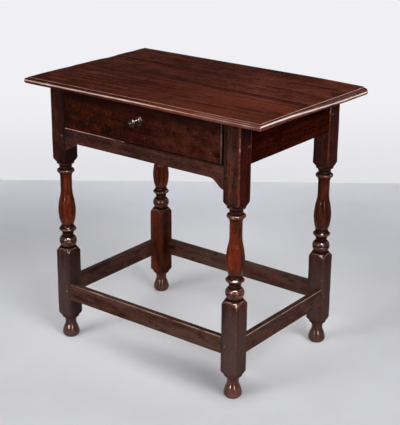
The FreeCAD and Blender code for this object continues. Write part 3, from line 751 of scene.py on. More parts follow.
# ---------------------------------------------------------------- legs
@dataclass
class Leg:
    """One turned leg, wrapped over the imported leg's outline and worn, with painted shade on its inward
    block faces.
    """

    CREASE = 38
    WAIST = 0.40  # blocks below this height are rounder
    UPPER_BLOCK = 0.50
    UNDER_TOP = 0.62  # arrises above this height are more rubbed
    CORNER_REACH = 0.41  # how much further out a square's corner is than its side

    node: str
    seed: float
    arris_round: float = 1.8 * MM
    arris_wear: float = 1.5 * MM
    arris_spread: float = 0.11
    low_round: float = 1.2 * MM
    rub_wave: float = 45.0 * MM
    grit_wave: float = 8.0 * MM
    unevenness: float = 0.3 * MM
    uneven_wave: float = 28.0 * MM
    sample: float = 0.25 * MM
    end_margin: float = 0.01 * MM
    tolerance: float = 0.03 * MM
    longest_step: float = 4.0 * MM
    smoothing: float = 3.0 * MM
    crest: float = 1.4 * MM
    crest_wear: float = 0.5
    spokes_per_half_quarter: int = 9
    seat: float = 256.5 * MM
    seat_cut: float = 10.0 * MM
    seat_margin: float = 2.0 * MM
    seat_line: float = 1.6 * MM
    shoulder_line: float = 1.0 * MM

    def __post_init__(self) -> None:
        """Note the leg's box, axis and half thickness."""
        self.low, self.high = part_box(self.node)
        self.axis = (self.low + self.high) / 2
        self.half = (self.high.x - self.low.x) / 2

    def spokes(self) -> list[float]:
        """Angles round the leg, closest together at the block's arrises."""
        half = self.spokes_per_half_quarter
        return [math.pi / 4 + quarter * math.pi / 2 + math.copysign((k / half) ** 2, k) * math.pi / 4
                for quarter in range(4) for k in range(-half + 1, half + 1)]

    def outline(self) -> list[tuple[float, float]]:
        """Height and radius along the leg's outer diagonal, where only arrises and turnings show.

        Returns:
            Closely spaced heights and radii, from the floor up.
        """
        outward = Vector((math.copysign(1, self.axis.x), math.copysign(1, self.axis.y), 0)).normalized()
        tree = rays_of(self.node)
        found = []
        for i in range(round((self.high.z - self.low.z) / self.sample) + 1):
            z = self.low.z + i * self.sample
            z = clamp(z, self.low.z + self.end_margin, self.high.z - self.end_margin)
            middle = Vector((self.axis.x, self.axis.y, z))
            hit = tree.ray_cast(middle + outward * 2 * self.half, -outward)[0]
            if hit is not None:
                found.append((z, (hit - middle).xy.length))
        return found

    def thin(self, outline: list[tuple[float, float]]) -> list[int]:
        """Numbers of the outline's points that its shape needs.

        Args:
            outline: Closely spaced points.

        Returns:
            The kept points' numbers, in order.
        """
        near = [i for i, (z, _) in enumerate(outline)
                if -self.seat_cut <= z - self.seat < self.seat_margin]
        kept = {0, len(outline) - 1, *near[::4]}
        spans = list(zip(sorted(kept), sorted(kept)[1:]))
        while spans:
            a, b = spans.pop()
            if b - a < 2:
                continue
            (za, ra), (zb, rb) = outline[a], outline[b]
            worst, place = 0.0, (a + b) // 2
            for i in range(a + 1, b):
                z, r = outline[i]
                off = abs(r - ra - (rb - ra) * (z - za) / (zb - za))
                if off > worst:
                    worst, place = off, i
            if worst > self.tolerance or zb - za > self.longest_step:
                kept.add(place)
                spans += [(a, place), (place, b)]
        return sorted(kept)

    def square(self, angle: float, rounding: float) -> float:
        """Radius of the square block with its arrises rounded.

        Args:
            angle: The angle round the leg.
            rounding: The arrises' radius.

        Returns:
            The distance from the axis to the block's side.
        """
        turn = abs((angle + math.pi / 4) % (math.pi / 2) - math.pi / 4)
        flat = self.half - rounding
        if self.half * math.tan(turn) <= flat:
            return self.half / math.cos(turn)
        along = flat * (math.cos(turn) + math.sin(turn))
        return along + math.sqrt(max(along * along - 2 * flat * flat + rounding * rounding, 0.0))

    def ring(self, skin: Skin, z: float, turned: float, convex: float) -> list[int]:
        """Add one ring of the worn surface.

        Args:
            skin: The mesh under construction.
            z: The ring's height.
            turned: The radius that the lathe left there.
            convex: From -1, in a hollow, to 1, on a crest.

        Returns:
            The ring's point numbers.
        """
        centre = Vector((self.axis.x, self.axis.y, z))
        rub = max(0.0, unevenness(centre, self.rub_wave, self.seed) + 0.35)
        grit = unevenness(centre, self.grit_wave, self.seed + 9)
        peak = 0.42 + 0.10 * rub + 0.45 * grit + (0.16 if z > self.UNDER_TOP else 0.0)
        rounding = self.arris_round + self.arris_wear * min(rub, 1.0)
        if z < self.WAIST:
            rounding += self.low_round
        limit = turned
        if self.seat - self.seat_cut < z < self.seat + self.seat_margin:
            lift = self.CORNER_REACH * max(0.0, self.seat - z) / self.seat_cut
            limit = min(turned, self.half * (1 + lift))
        points, edge = [], []
        for angle in self.spokes():
            way = Vector((math.cos(angle), math.sin(angle), 0))
            block = self.square(angle, rounding)
            in_block = block < limit
            to_shoulder = abs(block - limit)
            radius = min(block, limit)
            place = centre + way * radius
            radius -= self.unevenness * (0.5 + 0.5 * unevenness(place, self.uneven_wave, self.seed + 5))
            worn = min(convex, self.crest_wear)
            if in_block:
                off_corner = abs((angle + math.pi / 2) % (math.pi / 2) - math.pi / 4)
                worn = math.exp(-(off_corner / self.arris_spread) ** 2) * peak
            if to_shoulder < self.shoulder_line and abs(turned - self.half) > 0.2 * MM:
                worn = max(worn, 0.4 * (1 - to_shoulder / self.shoulder_line))
            if limit < turned or abs(z - self.seat) < self.seat_line:
                worn = max(worn, 0.35 + 0.55 * fading(to_shoulder, self.seat_line))
            # Painted shade: block faces that look along x towards the table's middle, darker on the upper
            # block.
            if in_block and place.x * way.x < 0 and abs(way.x) > 0.5:
                worn = -abs(way.x) * (0.85 if z > self.UPPER_BLOCK else 0.5)
            points.append(centre + way * radius)
            edge.append(clamp(worn, -1.0))
        return skin.row(points, edge, 1.0 if turned < self.half else 0.0)

    def make(self) -> bpy.types.Object:
        """Build the worn leg.

        Returns:
            The piece.
        """
        outline = self.outline()
        around = round(self.smoothing / self.sample)
        skin = Skin()
        rings = []
        for i in self.thin(outline):
            z, turned = outline[i]
            mean = (outline[max(i - around, 0)][1] + outline[min(i + around, len(outline) - 1)][1]) / 2
            rings.append(self.ring(skin, z, turned, clamp((turned - mean) / self.crest, -1.0)))
        skin.tube(rings)
        return skin.build("worn_" + self.node, self.CREASE)


# ---------------------------------------------------------------- top
@dataclass
class TopBoard:
    """One board of the top, with the moulded edge on three sides and the joint on the fourth."""

    CREASE = 34
    INSETS = (0, 0.1, 0.4, 0.9, 1.7, 2.7, 3.9, 5.2, 6.4, 7, 7.5, 8, 8.5, 8.8, 9, 9.3, 9.9, 11, 14)  # in mm

    node: str
    towards: int  # -1 for the front board, 1 for the rear one
    seed: float
    seam: float  # the joint's y at x = 0
    arris_inset: float = 9.0 * MM
    quirk: float = 2.2 * MM
    bead: float = 6.4 * MM
    groove_end: float = 8.9 * MM
    groove: float = 0.9 * MM
    ease: float = 0.9 * MM
    under: float = 8.4 * MM
    corners: tuple[float, float] = (5.0 * MM, 5.0 * MM)
    step: float = 14.0 * MM
    hollow: float = 0.5 * MM
    hollow_wave: float = 110.0 * MM
    end_wear: float = 4.0 * MM
    end_wave: float = 32.0 * MM
    edge_wave: float = 50.0 * MM
    wear_reach: float = 40.0 * MM
    corner_reach: float = 60.0 * MM
    right_end_share: float = 0.1
    edge_share: float = 0.12
    nick: float = 0.15
    nick_wave: float = 22.0 * MM
    parting: tuple[float, float] = (0.02, 0.18)  # where the front's bright line parts, and over how far
    sags: tuple[float, float, float] = (1.5, 3.0, 1.8)  # front left, rear right and left end, in mm
    thickening: float = 4.0  # at the rear right, in mm

    def __post_init__(self) -> None:
        """Note the board's box, length and outer edge."""
        self.low, self.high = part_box(self.node)
        self.length = self.high.x - self.low.x
        self.outer = self.low.y if self.towards < 0 else self.high.y

    def width(self, u: float) -> float:
        """Distance from the outer edge to the joint, at a distance from the left end."""
        return abs(self.seam + TopOak.SEAM_RISE * (self.low.x + u) - self.outer)

    def upper(self, d: float, polish: float) -> tuple[float, float]:
        """Height, wear, painted highlight and painted shade of the upper side.

        Args:
            d: Distance in from the edge.
            polish: Where on the bead the wear and painted highlight are centred, in radians up from its
                nose.

        Returns:
            The height, and its edge value there: wear and painted highlight on the bead, painted shade in
                the groove.
        """
        shelf = self.high.z - self.quirk
        if d <= self.bead:
            lean = math.acos(min(1.0, 1 - d / self.bead))
            # wear and painted highlight along the bead, painted shade on its flanks away from polish
            worn = 1.55 * math.exp(-((lean - polish) / 0.48) ** 2) - 0.42
            return shelf - self.bead + self.bead * math.sin(lean), worn
        if d < self.groove_end:
            dip = math.sin(math.pi * (d - self.bead) / (self.groove_end - self.bead)) ** 0.5
            # painted shade in the groove
            return shelf - self.groove * dip, 0.1 - 0.8 * dip
        ease = min(1.0, (d - self.groove_end) / self.ease)
        return self.high.z - self.quirk * (1 - ease) ** 3, max(0.0, 0.97 - abs(ease - 0.4) * 1.63)

    def lower(self, d: float) -> tuple[float, float]:
        """Height, wear and painted shade of the lower side.

        Args:
            d: Distance in from the edge.

        Returns:
            The height, and its edge value there: wear at the nose, painted shade further under.
        """
        nose = self.high.z - self.quirk - self.bead
        if d >= self.under:
            return self.low.z, 0.0
        drop = math.sqrt(self.under ** 2 - (self.under - d) ** 2)
        # wear at the nose, turning to painted shade under the bead
        return nose - (nose - self.low.z) * drop / self.under, 0.5 - 1.5 * drop / self.under

    def dulled(self, wear: float, d: float, x: float, upper: bool) -> float:
        """Wear and painted highlight along the front, where the bright line parts into two faint ones
        towards the right.

        Args:
            wear: The wear that the rest of the moulding would have there.
            d: Distance in from the edge.
            x: The place's x.
            upper: Whether it is on the upper side.

        Returns:
            Its edge value: wear, painted highlight and painted shade.
        """
        start, spread = self.parting
        share = clamp((x - start) / spread) if self.towards < 0 else 0.0
        if d >= (self.bead if upper else 2 * MM):
            return wear
        faint = 0.5
        if upper:
            faint = 0.53 + 0.25 * math.cos(7.85 * (math.acos(1 - d / self.bead) - 0.2))
        return 1.05 * wear * (1 - share) + faint * share

    def droop(self, x: float, y: float, inset: float, upper: bool) -> float:
        """How far the top has sunk at a place.

        Args:
            x: The place's x.
            y: Its y.
            inset: Its distance in from the edge.
            upper: Whether it is on the upper side; the underside stays on the rails.

        Returns:
            The drop, in metres.
        """
        front_left = max(0.0, -x / 0.365) * fading(y + 0.232, 0.08)
        rear_right = max(0.0, (x - 0.2) / 0.165) ** 1.5 * max(0.0, (y + 0.10) / 0.34)
        left = fading(x + 0.365, 0.08) * math.exp(-((y - 0.085) / 0.035) ** 2)
        lip = fading(inset, (9 if upper else 22) * MM)
        thick = self.thickening * min(1.0, 1.6 * rear_right) * lip
        drop = self.sags[0] * front_left + self.sags[1] * rear_right + self.sags[2] * left
        return (drop + thick if upper else drop * lip + thick) * MM

    @staticmethod
    def rounded(dx: float, dy: float, corner: float) -> Vector:
        """Move a point of a square corner onto the round one.

        Args:
            dx: Its distance in from the end.
            dy: Its distance in from the outer edge.
            corner: The corner's radius.

        Returns:
            The moved point's distances.
        """
        inset, far = sorted((dx, dy))
        if far >= corner:
            return Vector((dx, dy))
        reach = corner - inset
        turn = math.pi / 4 * (1 - (far - inset) / reach)
        short, long = corner - reach * math.cos(turn), corner - reach * math.sin(turn)
        return Vector((short, long) if dx <= dy else (long, short))

    def point(self, u: float, dy: float, upper: bool) -> tuple[Vector, float]:
        """A point of the worn board.

        Args:
            u: Its distance from the left end.
            dy: Its distance in from the outer edge.
            upper: Whether it is on the upper side.

        Returns:
            Its place, and its edge value: wear, painted highlight and painted shade.
        """
        left = u < self.length / 2
        dx = min(u, self.length - u)
        inset = min(dx, dy)
        moved = self.rounded(dx, dy, self.corners[0 if left else 1])
        x = self.low.x + moved.x if left else self.high.x - moved.x
        y = self.outer - self.towards * moved.y
        here = Vector((x, y, 0))
        polish = 0.75 - 0.55 * clamp((y + 0.2) / 0.25) if dx < dy else 0.25
        z, wear = self.upper(inset, polish) if upper else self.lower(inset)
        if upper and inset > self.arris_inset:
            z -= self.hollow * max(0.0, unevenness(here, self.hollow_wave, self.seed) + 0.1)
        z -= self.droop(x, y, inset, upper)
        eaten = max(0.0, 0.4 + unevenness(Vector((0, y, 0)), self.end_wave, self.seed + 3 * left))
        eaten *= self.end_wear * (1.0 if left else self.right_end_share) * fading(dx, self.wear_reach)
        eaten *= min(1.0, 0.1 + dy / self.corner_reach)
        chip = 0.5 + 0.5 * unevenness(Vector((x, 0, 0)), self.edge_wave, self.seed + 9)
        chip *= self.edge_share * self.end_wear * fading(dy, self.wear_reach)
        if dy < dx:
            wear = self.dulled(wear, inset, x, upper)
        elif not left:
            # the right end's moulding is pushed past 1, into the painted highlight
            wear *= 1.25
        if wear > 0.05:
            wear += self.nick * unevenness(here, self.nick_wave, self.seed + 1)
        return Vector((x + (eaten if left else -eaten), y - self.towards * chip, z)), wear

    def make(self) -> bpy.types.Object:
        """Build the board.

        Returns:
            The piece.
        """
        fine = [inset * MM for inset in self.INSETS]
        margin = fine[-1]
        inner = self.length - 2 * margin
        count = round(inner / self.step)
        us = fine + [inner * i / count + margin for i in range(1, count)]
        us += [self.length - inset for inset in reversed(fine)]
        rows = round(self.width(-self.low.x) / self.step)
        levels = [(inset, 0.0) for inset in fine] + [(margin, i / rows) for i in range(1, rows + 1)]
        skin = Skin()
        seams = []
        for upper in (True, False):
            sheet = []
            for inset, share in levels:
                row = [self.point(u, inset + (self.width(u) - margin) * share, upper) for u in us]
                sheet.append(skin.row(*zip(*row)))
            skin.bridge(sheet, False)
            seams.append(sheet[-1])
        skin.bridge(seams, False)
        return skin.build("worn_" + self.node, self.CREASE)


# ---------------------------------------------------------------- rails and stretchers
@dataclass
class Bar:
    """A rail or stretcher with its tenons, its faces uneven, its arrises worn, and its upper face painted
    shaded where asked.
    """

    CREASE = 40
    ARC = 5  # points round an arris
    FACE = (0.12, 0.35, 0.65, 0.88)  # places of the points across a face

    node: str
    grain: Grain
    shoulder_low: float
    shoulder_high: float
    seed: float
    rounding: float = 1.4 * MM
    tenon_round: float = 0.4 * MM
    tenon_grime: float = 0.5
    tip_depth: float = 0.3 * MM
    wear: float = 0.8 * MM
    rub_wave: float = 60.0 * MM
    upper_wear: float = 0.0
    worn_until: float = 1.0
    upper_shade: float = 0.0
    unevenness: float = 0.25 * MM
    uneven_wave: float = 35.0 * MM
    shoulder_margin: float = 0.05 * MM
    step: float = 9.0 * MM

    def __post_init__(self) -> None:
        """Note the bar's ends, and the middle and half of its thickness."""
        low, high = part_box(self.node)
        along, across = self.grain.value, 1 - self.grain.value
        self.ends = low[along], high[along]
        self.middle = (low[across] + high[across]) / 2
        self.half = (high[across] - low[across]) / 2
        self.tree = rays_of(self.node)

    def place(self, along: float, across: float, z: float) -> Vector:
        """A point from its distances along and across the bar, and its height."""
        return Vector((along, across, z)) if self.grain is Grain.ALONG_X else Vector((across, along, z))

    def stations(self) -> list[float]:
        """Places along the bar where it is sampled, from shoulder to shoulder."""
        spread = self.shoulder_high - self.shoulder_low
        count = math.ceil(spread / self.step)
        return [self.shoulder_low + spread * i / count for i in range(count + 1)]

    def ring(self, half: float, low: float, high: float,
             rounds: Sequence[float]) -> list[tuple[float, float, float]]:
        """A rounded section of the bar.

        Args:
            half: Half its thickness.
            low: Its lower face.
            high: Its upper face.
            rounds: The four arrises' radii.

        Returns:
            Distance across, height and nearness to an arris for each point.
        """
        corners = ((half, high), (-half, high), (-half, low), (half, low))
        points = []
        for k, ((cx, cz), r) in enumerate(zip(corners, rounds)):
            sx, sz = math.copysign(1, cx), (1 if cz == high else -1)
            for step in range(self.ARC):
                angle = math.pi / 2 * (k + step / (self.ARC - 1))
                points.append((cx - sx * r + r * math.cos(angle), cz - sz * r + r * math.sin(angle),
                               1.0 - abs(step - 2) / 2.5))
            nx, nz = corners[(k + 1) % 4]
            points += [(cx + (nx - cx) * share, cz + (nz - cz) * share, 0.0) for share in self.FACE]
        return points

    def tenon(self, skin: Skin, end: float, shoulder: float) -> list[list[int]]:
        """Add a tenon.

        Args:
            skin: The mesh under construction.
            end: Its end.
            shoulder: Its shoulder.

        Returns:
            The point numbers of the rings at its end and at its shoulder.
        """
        axis = self.grain.value
        packed = frame["nodes"][self.node].data.vertices
        tip = [v.co for v in packed if abs(v.co[axis] - end) < self.tip_depth]
        offs = [v[1 - axis] for v in tip]
        heights = [v.z for v in tip]
        middle = (min(offs) + max(offs)) / 2
        section = self.ring((max(offs) - min(offs)) / 2, min(heights), max(heights), [self.tenon_round] * 4)
        grime_and_shade = [-self.tenon_grime] * len(section)
        return [skin.row([self.place(along, middle + a, z) for a, z, _ in section], grime_and_shade)
                for along in (end, shoulder)]

    def section(self, skin: Skin, along: float) -> list[int]:
        """Add a ring of the worn bar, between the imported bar's lower and upper faces there.

        Args:
            skin: The mesh under construction.
            along: The place along the bar.

        Returns:
            The ring's point numbers.
        """
        margin = self.shoulder_margin
        inside = clamp(along, self.shoulder_low + margin, self.shoulder_high - margin)
        bottom = self.tree.ray_cast(self.place(inside, self.middle, -1.0), Vector((0, 0, 1)))[0].z
        top = self.tree.ray_cast(self.place(inside, self.middle, 2.0), Vector((0, 0, -1)))[0].z
        rounds, worn = [], []
        for k in range(4):
            here = self.place(along, 0.05 * k, 0)
            rub = 0.5 + 0.5 * unevenness(here, self.rub_wave, self.seed + 2 * k)
            outer_top = k == (0 if self.middle > 0 else 1)
            extra = self.upper_wear * (0.4 + 1.2 * rub) if outer_top else 0.0
            rounds.append(self.rounding + self.wear * rub + extra)
            # the outer upper arris is worn pale up to worn_until, and painted dark beyond it, as shaded in
            # the gap under the drawer
            line = 0.9 if along < self.worn_until + 20 * MM * (rub - 0.5) else -1.2
            worn.append(0.4 * rub + (line if outer_top and self.upper_wear else 0.0))
        side = self.ARC + len(self.FACE)
        points, edge = [], []
        for n, (a, z, near) in enumerate(self.ring(self.half, bottom, top, rounds)):
            here = self.place(along, self.middle + a, z)
            pull = self.unevenness * (0.5 + 0.5 * unevenness(here, self.uneven_wave, self.seed))
            points.append(self.place(along, self.middle + a - math.copysign(min(pull, abs(a)), a), z))
            # the upper face gets painted shade, as shaded under the drawer
            edge.append(-self.upper_shade if self.ARC <= n < side else near * worn[n // side])
        return skin.row(points, edge)

    def make(self) -> bpy.types.Object:
        """Build the bar.

        Returns:
            The piece.
        """
        skin = Skin()
        first = self.tenon(skin, self.ends[0], self.shoulder_low)
        last = self.tenon(skin, self.ends[1], self.shoulder_high)
        skin.tube(first + [self.section(skin, along) for along in self.stations()] + last[::-1])
        return skin.build("worn_" + self.node, self.CREASE)


@dataclass
class BracketedBar(Bar):
    """The drawer rail, with a cut bracket at each end."""

    bracket: float = 44.0 * MM
    fine_step: float = 1.2 * MM

    def stations(self) -> list[float]:
        """Places along the rail, close together over the brackets.

        Returns:
            The places, from shoulder to shoulder.
        """
        count = round(self.bracket / self.fine_step)
        left = [self.shoulder_low + self.bracket * i / count for i in range(count)]
        right = [self.shoulder_low + self.shoulder_high - v for v in reversed(left)]
        spread = right[0] - left[-1]
        between = math.ceil(spread / self.step)
        return left + [left[-1] + spread * i / between for i in range(1, between)] + right


# ---------------------------------------------------------------- studio
@dataclass(frozen=True)
class Lamp:
    """A soft rectangular lamp pointed at the table; a glint only shows in glossy surfaces."""

    name: str
    way: Vector
    level: float
    width: float
    height: float
    glint: bool = False
    distance: float = 3.0
    aim: Vector = Vector((0.0, 0.0, 0.4))

    def hang(self) -> None:
        """Add the lamp; a level of 1 shows a colour facing it as it is written."""
        data = bpy.data.lights.new(self.name, "AREA")
        data.shape = "RECTANGLE"
        data.size = self.width
        data.size_y = self.height
        data.energy = self.level * (math.pi * self.distance) ** 2
        made = link(self.name, data)
        made.visible_diffuse = not self.glint
        made.location = self.aim + self.way.normalized() * self.distance
        made.rotation_mode = "QUATERNION"
        made.rotation_quaternion = (-self.way).to_track_quat("-Z", "Y")


@dataclass
class Studio:
    """Pale floor and backdrop, soft lamps and the camera."""

    camera_place: Vector = Vector((1.6706, -2.1593, 1.3613))
    camera_yaw: float = 37.3325
    camera_pitch: float = 20.1114
    camera_roll: float = 0.4967
    lens: float = 94.72
    wall_distance: float = 4.06
    wall_height: float = 0.85
    floor_half: float = 8.0
    floor_drop: float = 0.3 * MM
    floor_colour: Colour = (0.76, 0.77, 0.82)
    floor_shade: Colour = (0.70, 0.705, 0.74)
    floor_painted_light: Colour = (0.97, 0.975, 1.0)
    floor_painted_shadow: Colour = (0.46, 0.455, 0.475)
    painted_light_centre: Vector = Vector((-0.22, 0.24, 0.0))
    wall_colour: Colour = (0.87, 0.865, 0.905)
    wall_foot_shade: Colour = (0.76, 0.755, 0.79)
    wall_plain: Colour = (0.65, 0.65, 0.67)
    sky: Colour = (0.98, 0.98, 1.0)
    ambient: float = 0.55
    surroundings: float = 0.03
    lamps: tuple[Lamp, ...] = (
        Lamp("key_right", Vector((0.79, -0.26, 0.60)), 0.60, 3.0, 3.0, distance=5.0),
        Lamp("fill_front", Vector((-0.25, -0.86, 0.42)), 0.48, 2.6, 2.6, distance=5.0),
        Lamp("glint_back", Vector((0.27, 0.75, 0.62)), 0.40, 0.8, 0.8, True),
        Lamp("glint_key", Vector((0.76, -0.09, 0.62)), 0.60, 0.5, 0.5, True),
        Lamp("glint_high", Vector((0.42, -0.50, 0.98)), 9.0, 2.0, 0.5, True),
        Lamp("glint_right", Vector((0.87, -0.50, 0.28)), 1.2, 0.4, 1.7, True),
        Lamp("glint_front", Vector((0.02, -0.97, 0.28)), 2.2, 0.5, 1.5, True))

    def camera(self) -> None:
        """Set the camera at the viewing angle."""
        yaw, pitch, roll = (math.radians(a) for a in (self.camera_yaw, self.camera_pitch, self.camera_roll))
        forward = Vector((
            -math.sin(yaw) * math.cos(pitch), math.cos(yaw) * math.cos(pitch), -math.sin(pitch)))
        right = Vector((math.cos(yaw), math.sin(yaw), 0))
        up = right.cross(forward)
        level_right = right * math.cos(roll) + up * math.sin(roll)
        level_up = up * math.cos(roll) - right * math.sin(roll)
        data = bpy.data.cameras.new("camera")
        data.lens = self.lens
        data.clip_end = 50
        made = link("camera", data)
        turn = Matrix((level_right, level_up, -forward)).transposed()
        made.matrix_world = Matrix.Translation(self.camera_place) @ turn.to_4x4()
        bpy.context.scene.camera = made

    @staticmethod
    def sheet(name: str, corners: Sequence[Vector], material: bpy.types.Material) -> bpy.types.Object:
        """A flat stage piece.

        Args:
            name: Its name.
            corners: Its four corners.
            material: Its material.

        Returns:
            The object.
        """
        mesh = bpy.data.meshes.new(name)
        mesh.from_pydata([tuple(c) for c in corners], [], [(0, 1, 2, 3)])
        mesh.materials.append(material)
        made = link(name, mesh)
        return made

    @staticmethod
    def one_sided(tree: Tree, shader: Wire) -> Wire:
        """Make a surface clear from behind.

        Args:
            tree: The tree under construction.
            shader: What its front shows.

        Returns:
            The shader for both sides.
        """
        behind = tree.node("ShaderNodeNewGeometry", {}, {}, "Backfacing")
        clear = tree.node("ShaderNodeBsdfTransparent", {}, {})
        return tree.node("ShaderNodeMixShader", {}, {0: behind, 1: shader, 2: clear})

    def floor_material(self) -> bpy.types.Material:
        """Pale painted floor, with painted light under the table and a painted shadow under the front
        stretcher.

        Returns:
            The finished material.
        """
        tree = Tree(bpy.data.materials.new("pale_floor"))
        x, y = tree.axis("X"), tree.axis("Y")
        cloud = tree.noise((1.6, 1.6, 1.6), (0.3, 0, 0), 5)
        from_middle = tree.node("ShaderNodeVectorMath", {"operation": "DISTANCE"}, {
            0: tree.place, 1: self.painted_light_centre}, "Value")
        painted_shadow = y.between(-0.26, -0.17, -0.14, -0.06) * x.band(-0.28, 0.22) * x.band(0.36, 0.25)
        colour = tree.lay(self.floor_colour, (
            (cloud.band(0.35, 0.65), self.floor_shade),
            # painted light under the table
            (from_middle.band(0.80, 0.25) * 0.9, self.floor_painted_light),
            # painted shadow under the front stretcher
            (painted_shadow * 0.75, self.floor_painted_shadow)))
        return tree.finish(self.one_sided(tree, tree.node("ShaderNodeBsdfPrincipled", {}, {
            "Base Color": colour, "Roughness": 0.55 + cloud * 0.2, "Specular IOR Level": 0.2})))

    def wall_material(self) -> bpy.types.Material:
        """Pale backdrop, seen from its front side only, with painted shade towards its foot.

        Returns:
            The finished material.
        """
        tree = Tree(bpy.data.materials.new("pale_wall"))
        # painted shade, darker towards the backdrop's foot
        colour = tree.mix(tree.axis("Z").band(0.0, 0.35), self.wall_foot_shade, self.wall_colour)
        seen = tree.node("ShaderNodeLightPath", {}, {}, "Is Camera Ray")
        plain = tree.node("ShaderNodeBsdfDiffuse", {}, {"Color": self.wall_plain})
        bright = tree.node("ShaderNodeEmission", {}, {"Color": colour})
        shown = tree.node("ShaderNodeMixShader", {}, {0: seen, 1: plain, 2: bright})
        return tree.finish(self.one_sided(tree, shown))

    def room(self) -> None:
        """Lay the floor and stand the backdrop behind the table."""
        h = self.floor_half
        floor = [Vector((x, y, -self.floor_drop)) for x, y in ((-h, -h), (h, -h), (h, h), (-h, h))]
        self.sheet("floor", floor, self.floor_material())
        yaw = math.radians(self.camera_yaw)
        away = Vector((-math.sin(yaw), math.cos(yaw), 0))
        side = Vector((math.cos(yaw), math.sin(yaw), 0)) * h
        foot = Vector((self.camera_place.x, self.camera_place.y, 0)) + away * self.wall_distance
        rise = Vector((0, 0, self.wall_height))
        wall = [foot - side, foot + side, foot + side + rise, foot - side + rise]
        self.sheet("backdrop", wall, self.wall_material()).visible_shadow = False

    def light(self) -> None:
        """Hang the lamps, and set the fill from the world: bright low down, dim in reflections."""
        for lamp in self.lamps:
            lamp.hang()
        tree = Tree(bpy.data.worlds.new("studio"))
        way = tree.node("ShaderNodeTexCoord", {}, {}, "Generated")
        height = tree.node("ShaderNodeSeparateXYZ", {}, {"Vector": way}, "Z")
        fill = tree.node("ShaderNodeMapRange", {}, {0: height, 2: 0.7, 3: 2.2, 4: 0.1}) * self.ambient
        for ray, level in (("Is Glossy Ray", self.surroundings), ("Is Camera Ray", self.wall_colour[0])):
            share = tree.node("ShaderNodeLightPath", {}, {}, ray)
            fill = tree.node("ShaderNodeMix", {}, {0: share, 2: fill, 3: level})
        bpy.context.scene.world = tree.finish(
            tree.node("ShaderNodeBackground", {}, {"Color": self.sky, "Strength": fill}))
        bpy.context.scene.view_settings.view_transform = "Standard"


# ---------------------------------------------------------------- the table
FRAME_WOOD = Palette(
    dark=(0.010, 0.0030, 0.0022), middle=(0.040, 0.0118, 0.0080),
    pale=(0.078, 0.024, 0.017), rubbed=(0.40, 0.26, 0.20))
LEG_WOOD = Palette(
    dark=(0.010, 0.0026, 0.0018), middle=(0.044, 0.0105, 0.0062),
    pale=(0.095, 0.027, 0.016), rubbed=(0.30, 0.20, 0.17))
FRONT_WOOD = Palette(
    dark=(0.006, 0.0008, 0.0003), middle=(0.022, 0.0030, 0.0011),
    pale=(0.050, 0.009, 0.0045), rubbed=(0.30, 0.21, 0.18))
# The side rails' oak, painted darker and redder than the frame's, as shaded by the top's overhang.
SHADED_SIDE_WOOD = Palette(
    dark=(0.003, 0.0004, 0.0002), middle=(0.019, 0.0023, 0.0009),
    pale=(0.043, 0.0075, 0.0036), rubbed=(0.20, 0.13, 0.11))
PEG_WOOD = Palette(
    dark=(0.024, 0.012, 0.009), middle=(0.068, 0.040, 0.032),
    pale=(0.14, 0.10, 0.09), rubbed=(0.30, 0.22, 0.19))
TOP_WOOD = Palette(
    dark=(0.022, 0.0064, 0.0048), middle=(0.0725, 0.0183, 0.0122),
    pale=(0.135, 0.037, 0.024), rubbed=(0.48, 0.32, 0.25))
BARE_WOOD = Palette(
    dark=(0.06, 0.027, 0.014), middle=(0.16, 0.080, 0.042),
    pale=(0.27, 0.150, 0.085), rubbed=(0.35, 0.24, 0.15))


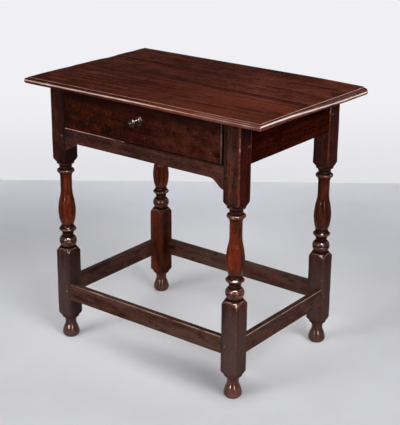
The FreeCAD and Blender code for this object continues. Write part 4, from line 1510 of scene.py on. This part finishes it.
@dataclass
class TavernTable:
    """The whole table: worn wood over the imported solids."""

    # Each leg's colour level and marks; the front-left leg's low level is painted shade.
    leg_tones: tuple[tuple[str, float, dict[str, float]], ...] = (
        ("leg_front_left", 0.66, {"dusty": 0.75, "arris": 0.2, "hazy": 0.2, "warmth": 0.72}),
        ("leg_front_right", 1.2, {"dusty": 0.8, "arris": 0.85}),
        ("leg_back_left", 0.88, {"dusty": 0.0, "warmth": 0.6, "ember": 0.36, "hazy": 0.3}),
        ("leg_back_right", 0.76, {"dusty": 0.6, "warmth": 0.3, "deep": 0.7, "hazy": 0.35, "arris": 0.8}))
    across: tuple[Grain, float, float] = (Grain.ALONG_X, -248 * MM, 248 * MM)
    along: tuple[Grain, float, float] = (Grain.ALONG_Y, -163.25 * MM, 176.75 * MM)

    def finishes(self) -> dict[str, bpy.types.Material]:
        """Make every material.

        Returns:
            The materials by name.
        """
        finishes = [
            Oak("waxed_oak_rails_long", Grain.ALONG_X, FRAME_WOOD, 2.0, rub=0.9, evenness=0.1),
            Oak("waxed_oak_rails_short", Grain.ALONG_Y, SHADED_SIDE_WOOD, 3.0, coat=0.0, shade=0.8),
            StretcherOak("scuffed_oak_long", Grain.ALONG_X, FRAME_WOOD, 6.0, rub=0.7, evenness=0.05),
            StretcherOak("scuffed_oak_short", Grain.ALONG_Y, FRAME_WOOD, 7.0, rub=0.85, evenness=0.05,
                         dusty=0.3),
            TopOak("waxed_oak_top", Grain.ALONG_X, TOP_WOOD, 4.0, coat=1.0, streaks=0.9, patches=0.35,
                   rub=0.78, evenness=0.18),
            DrawerFrontOak("waxed_oak_drawer_front", Grain.ALONG_X, FRONT_WOOD, 8.0, streaks=0.8,
                           patches=0.8, coat=0.1),
            Oak("waxed_oak_pegs", Grain.ALONG_Z, PEG_WOOD, 9.0),
            Oak("bare_oak", Grain.ALONG_Y, BARE_WOOD, 5.0, roughness=0.7),
            DarkKnobWood(), WroughtIron()]
        for number, (name, level, marks) in enumerate(self.leg_tones):
            finishes.append(LegOak("waxed_oak_" + name, Grain.ALONG_Z, LEG_WOOD.toned(level), 1.0 + number,
                                   coat=1.0, coat_roughness=0.13, streaks=0.75, rub=0.9, evenness=0.1,
                                   shade=0.45, **marks))
        return {finish.name: finish.material() for finish in finishes}

    def dress(self, finishes: dict[str, bpy.types.Material]) -> None:
        """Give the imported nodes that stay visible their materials.

        Args:
            finishes: The materials by name.
        """
        by_slot = {
            "top_oak": "waxed_oak_top", "frame_oak": "waxed_oak_rails_long", "peg_oak": "waxed_oak_pegs",
            "drawer_front_oak": "waxed_oak_drawer_front", "inner_oak": "bare_oak",
            "knob_wood": "polished_dark_knob", "nail_iron": "old_iron"}
        for part in frame["record"]["subparts"]:
            slots = frame["nodes"][part["node"]].data.materials
            slots.clear()
            slots.append(finishes[by_slot[part["material_slot"]]])

    def bars(self) -> list[tuple[Bar, str]]:
        """The rails and stretchers.

        Returns:
            Each with its finish's name.
        """
        rail = BracketedBar("front_drawer_rail", *self.across, 1.0, upper_wear=1.1 * MM, worn_until=-0.05,
                            upper_shade=1.0)
        return [
            (rail, "waxed_oak_rails_long"),
            (Bar("back_rail", *self.across, 2.0), "waxed_oak_rails_long"),
            (Bar("side_rail_left", *self.along, 3.0), "waxed_oak_rails_short"),
            (Bar("side_rail_right", *self.along, 4.0), "waxed_oak_rails_short"),
            (Bar("stretcher_front", *self.across, 5.0, upper_wear=1.7 * MM), "scuffed_oak_long"),
            (Bar("stretcher_back", *self.across, 6.0, upper_wear=0.8 * MM), "scuffed_oak_long"),
            (Bar("stretcher_left", *self.along, 7.0, upper_wear=1.2 * MM), "scuffed_oak_short"),
            (Bar("stretcher_right", *self.along, 8.0, upper_wear=1.2 * MM), "scuffed_oak_short")]

    def build(self) -> None:
        """Build every worn piece and put it in its nodes' place."""
        finishes = self.finishes()
        self.dress(finishes)
        for number, (name, *_) in enumerate(self.leg_tones):
            leg = Leg(name, 3.0 + 7.0 * number)
            settle(leg.make(), finishes["waxed_oak_" + name], "frame", "frame_oak", name)
        for bar, finish in self.bars():
            settle(bar.make(), finishes[finish], "frame", "frame_oak", bar.node)
        for board in (TopBoard("top_board_front", -1, 11.0, 7.45 * MM),
                      TopBoard("top_board_rear", 1, 12.0, 8.05 * MM, corners=(5.0 * MM, 13.0 * MM))):
            settle(board.make(), finishes["waxed_oak_top"], "frame", "top_oak", board.node)


def main() -> None:
    """Build the studio and the table."""
    logging.basicConfig(level=logging.INFO, format="%(name)s: %(message)s")
    studio = Studio()
    studio.camera()
    studio.room()
    studio.light()
    TavernTable().build()


if __name__ == "__main__":
    main()
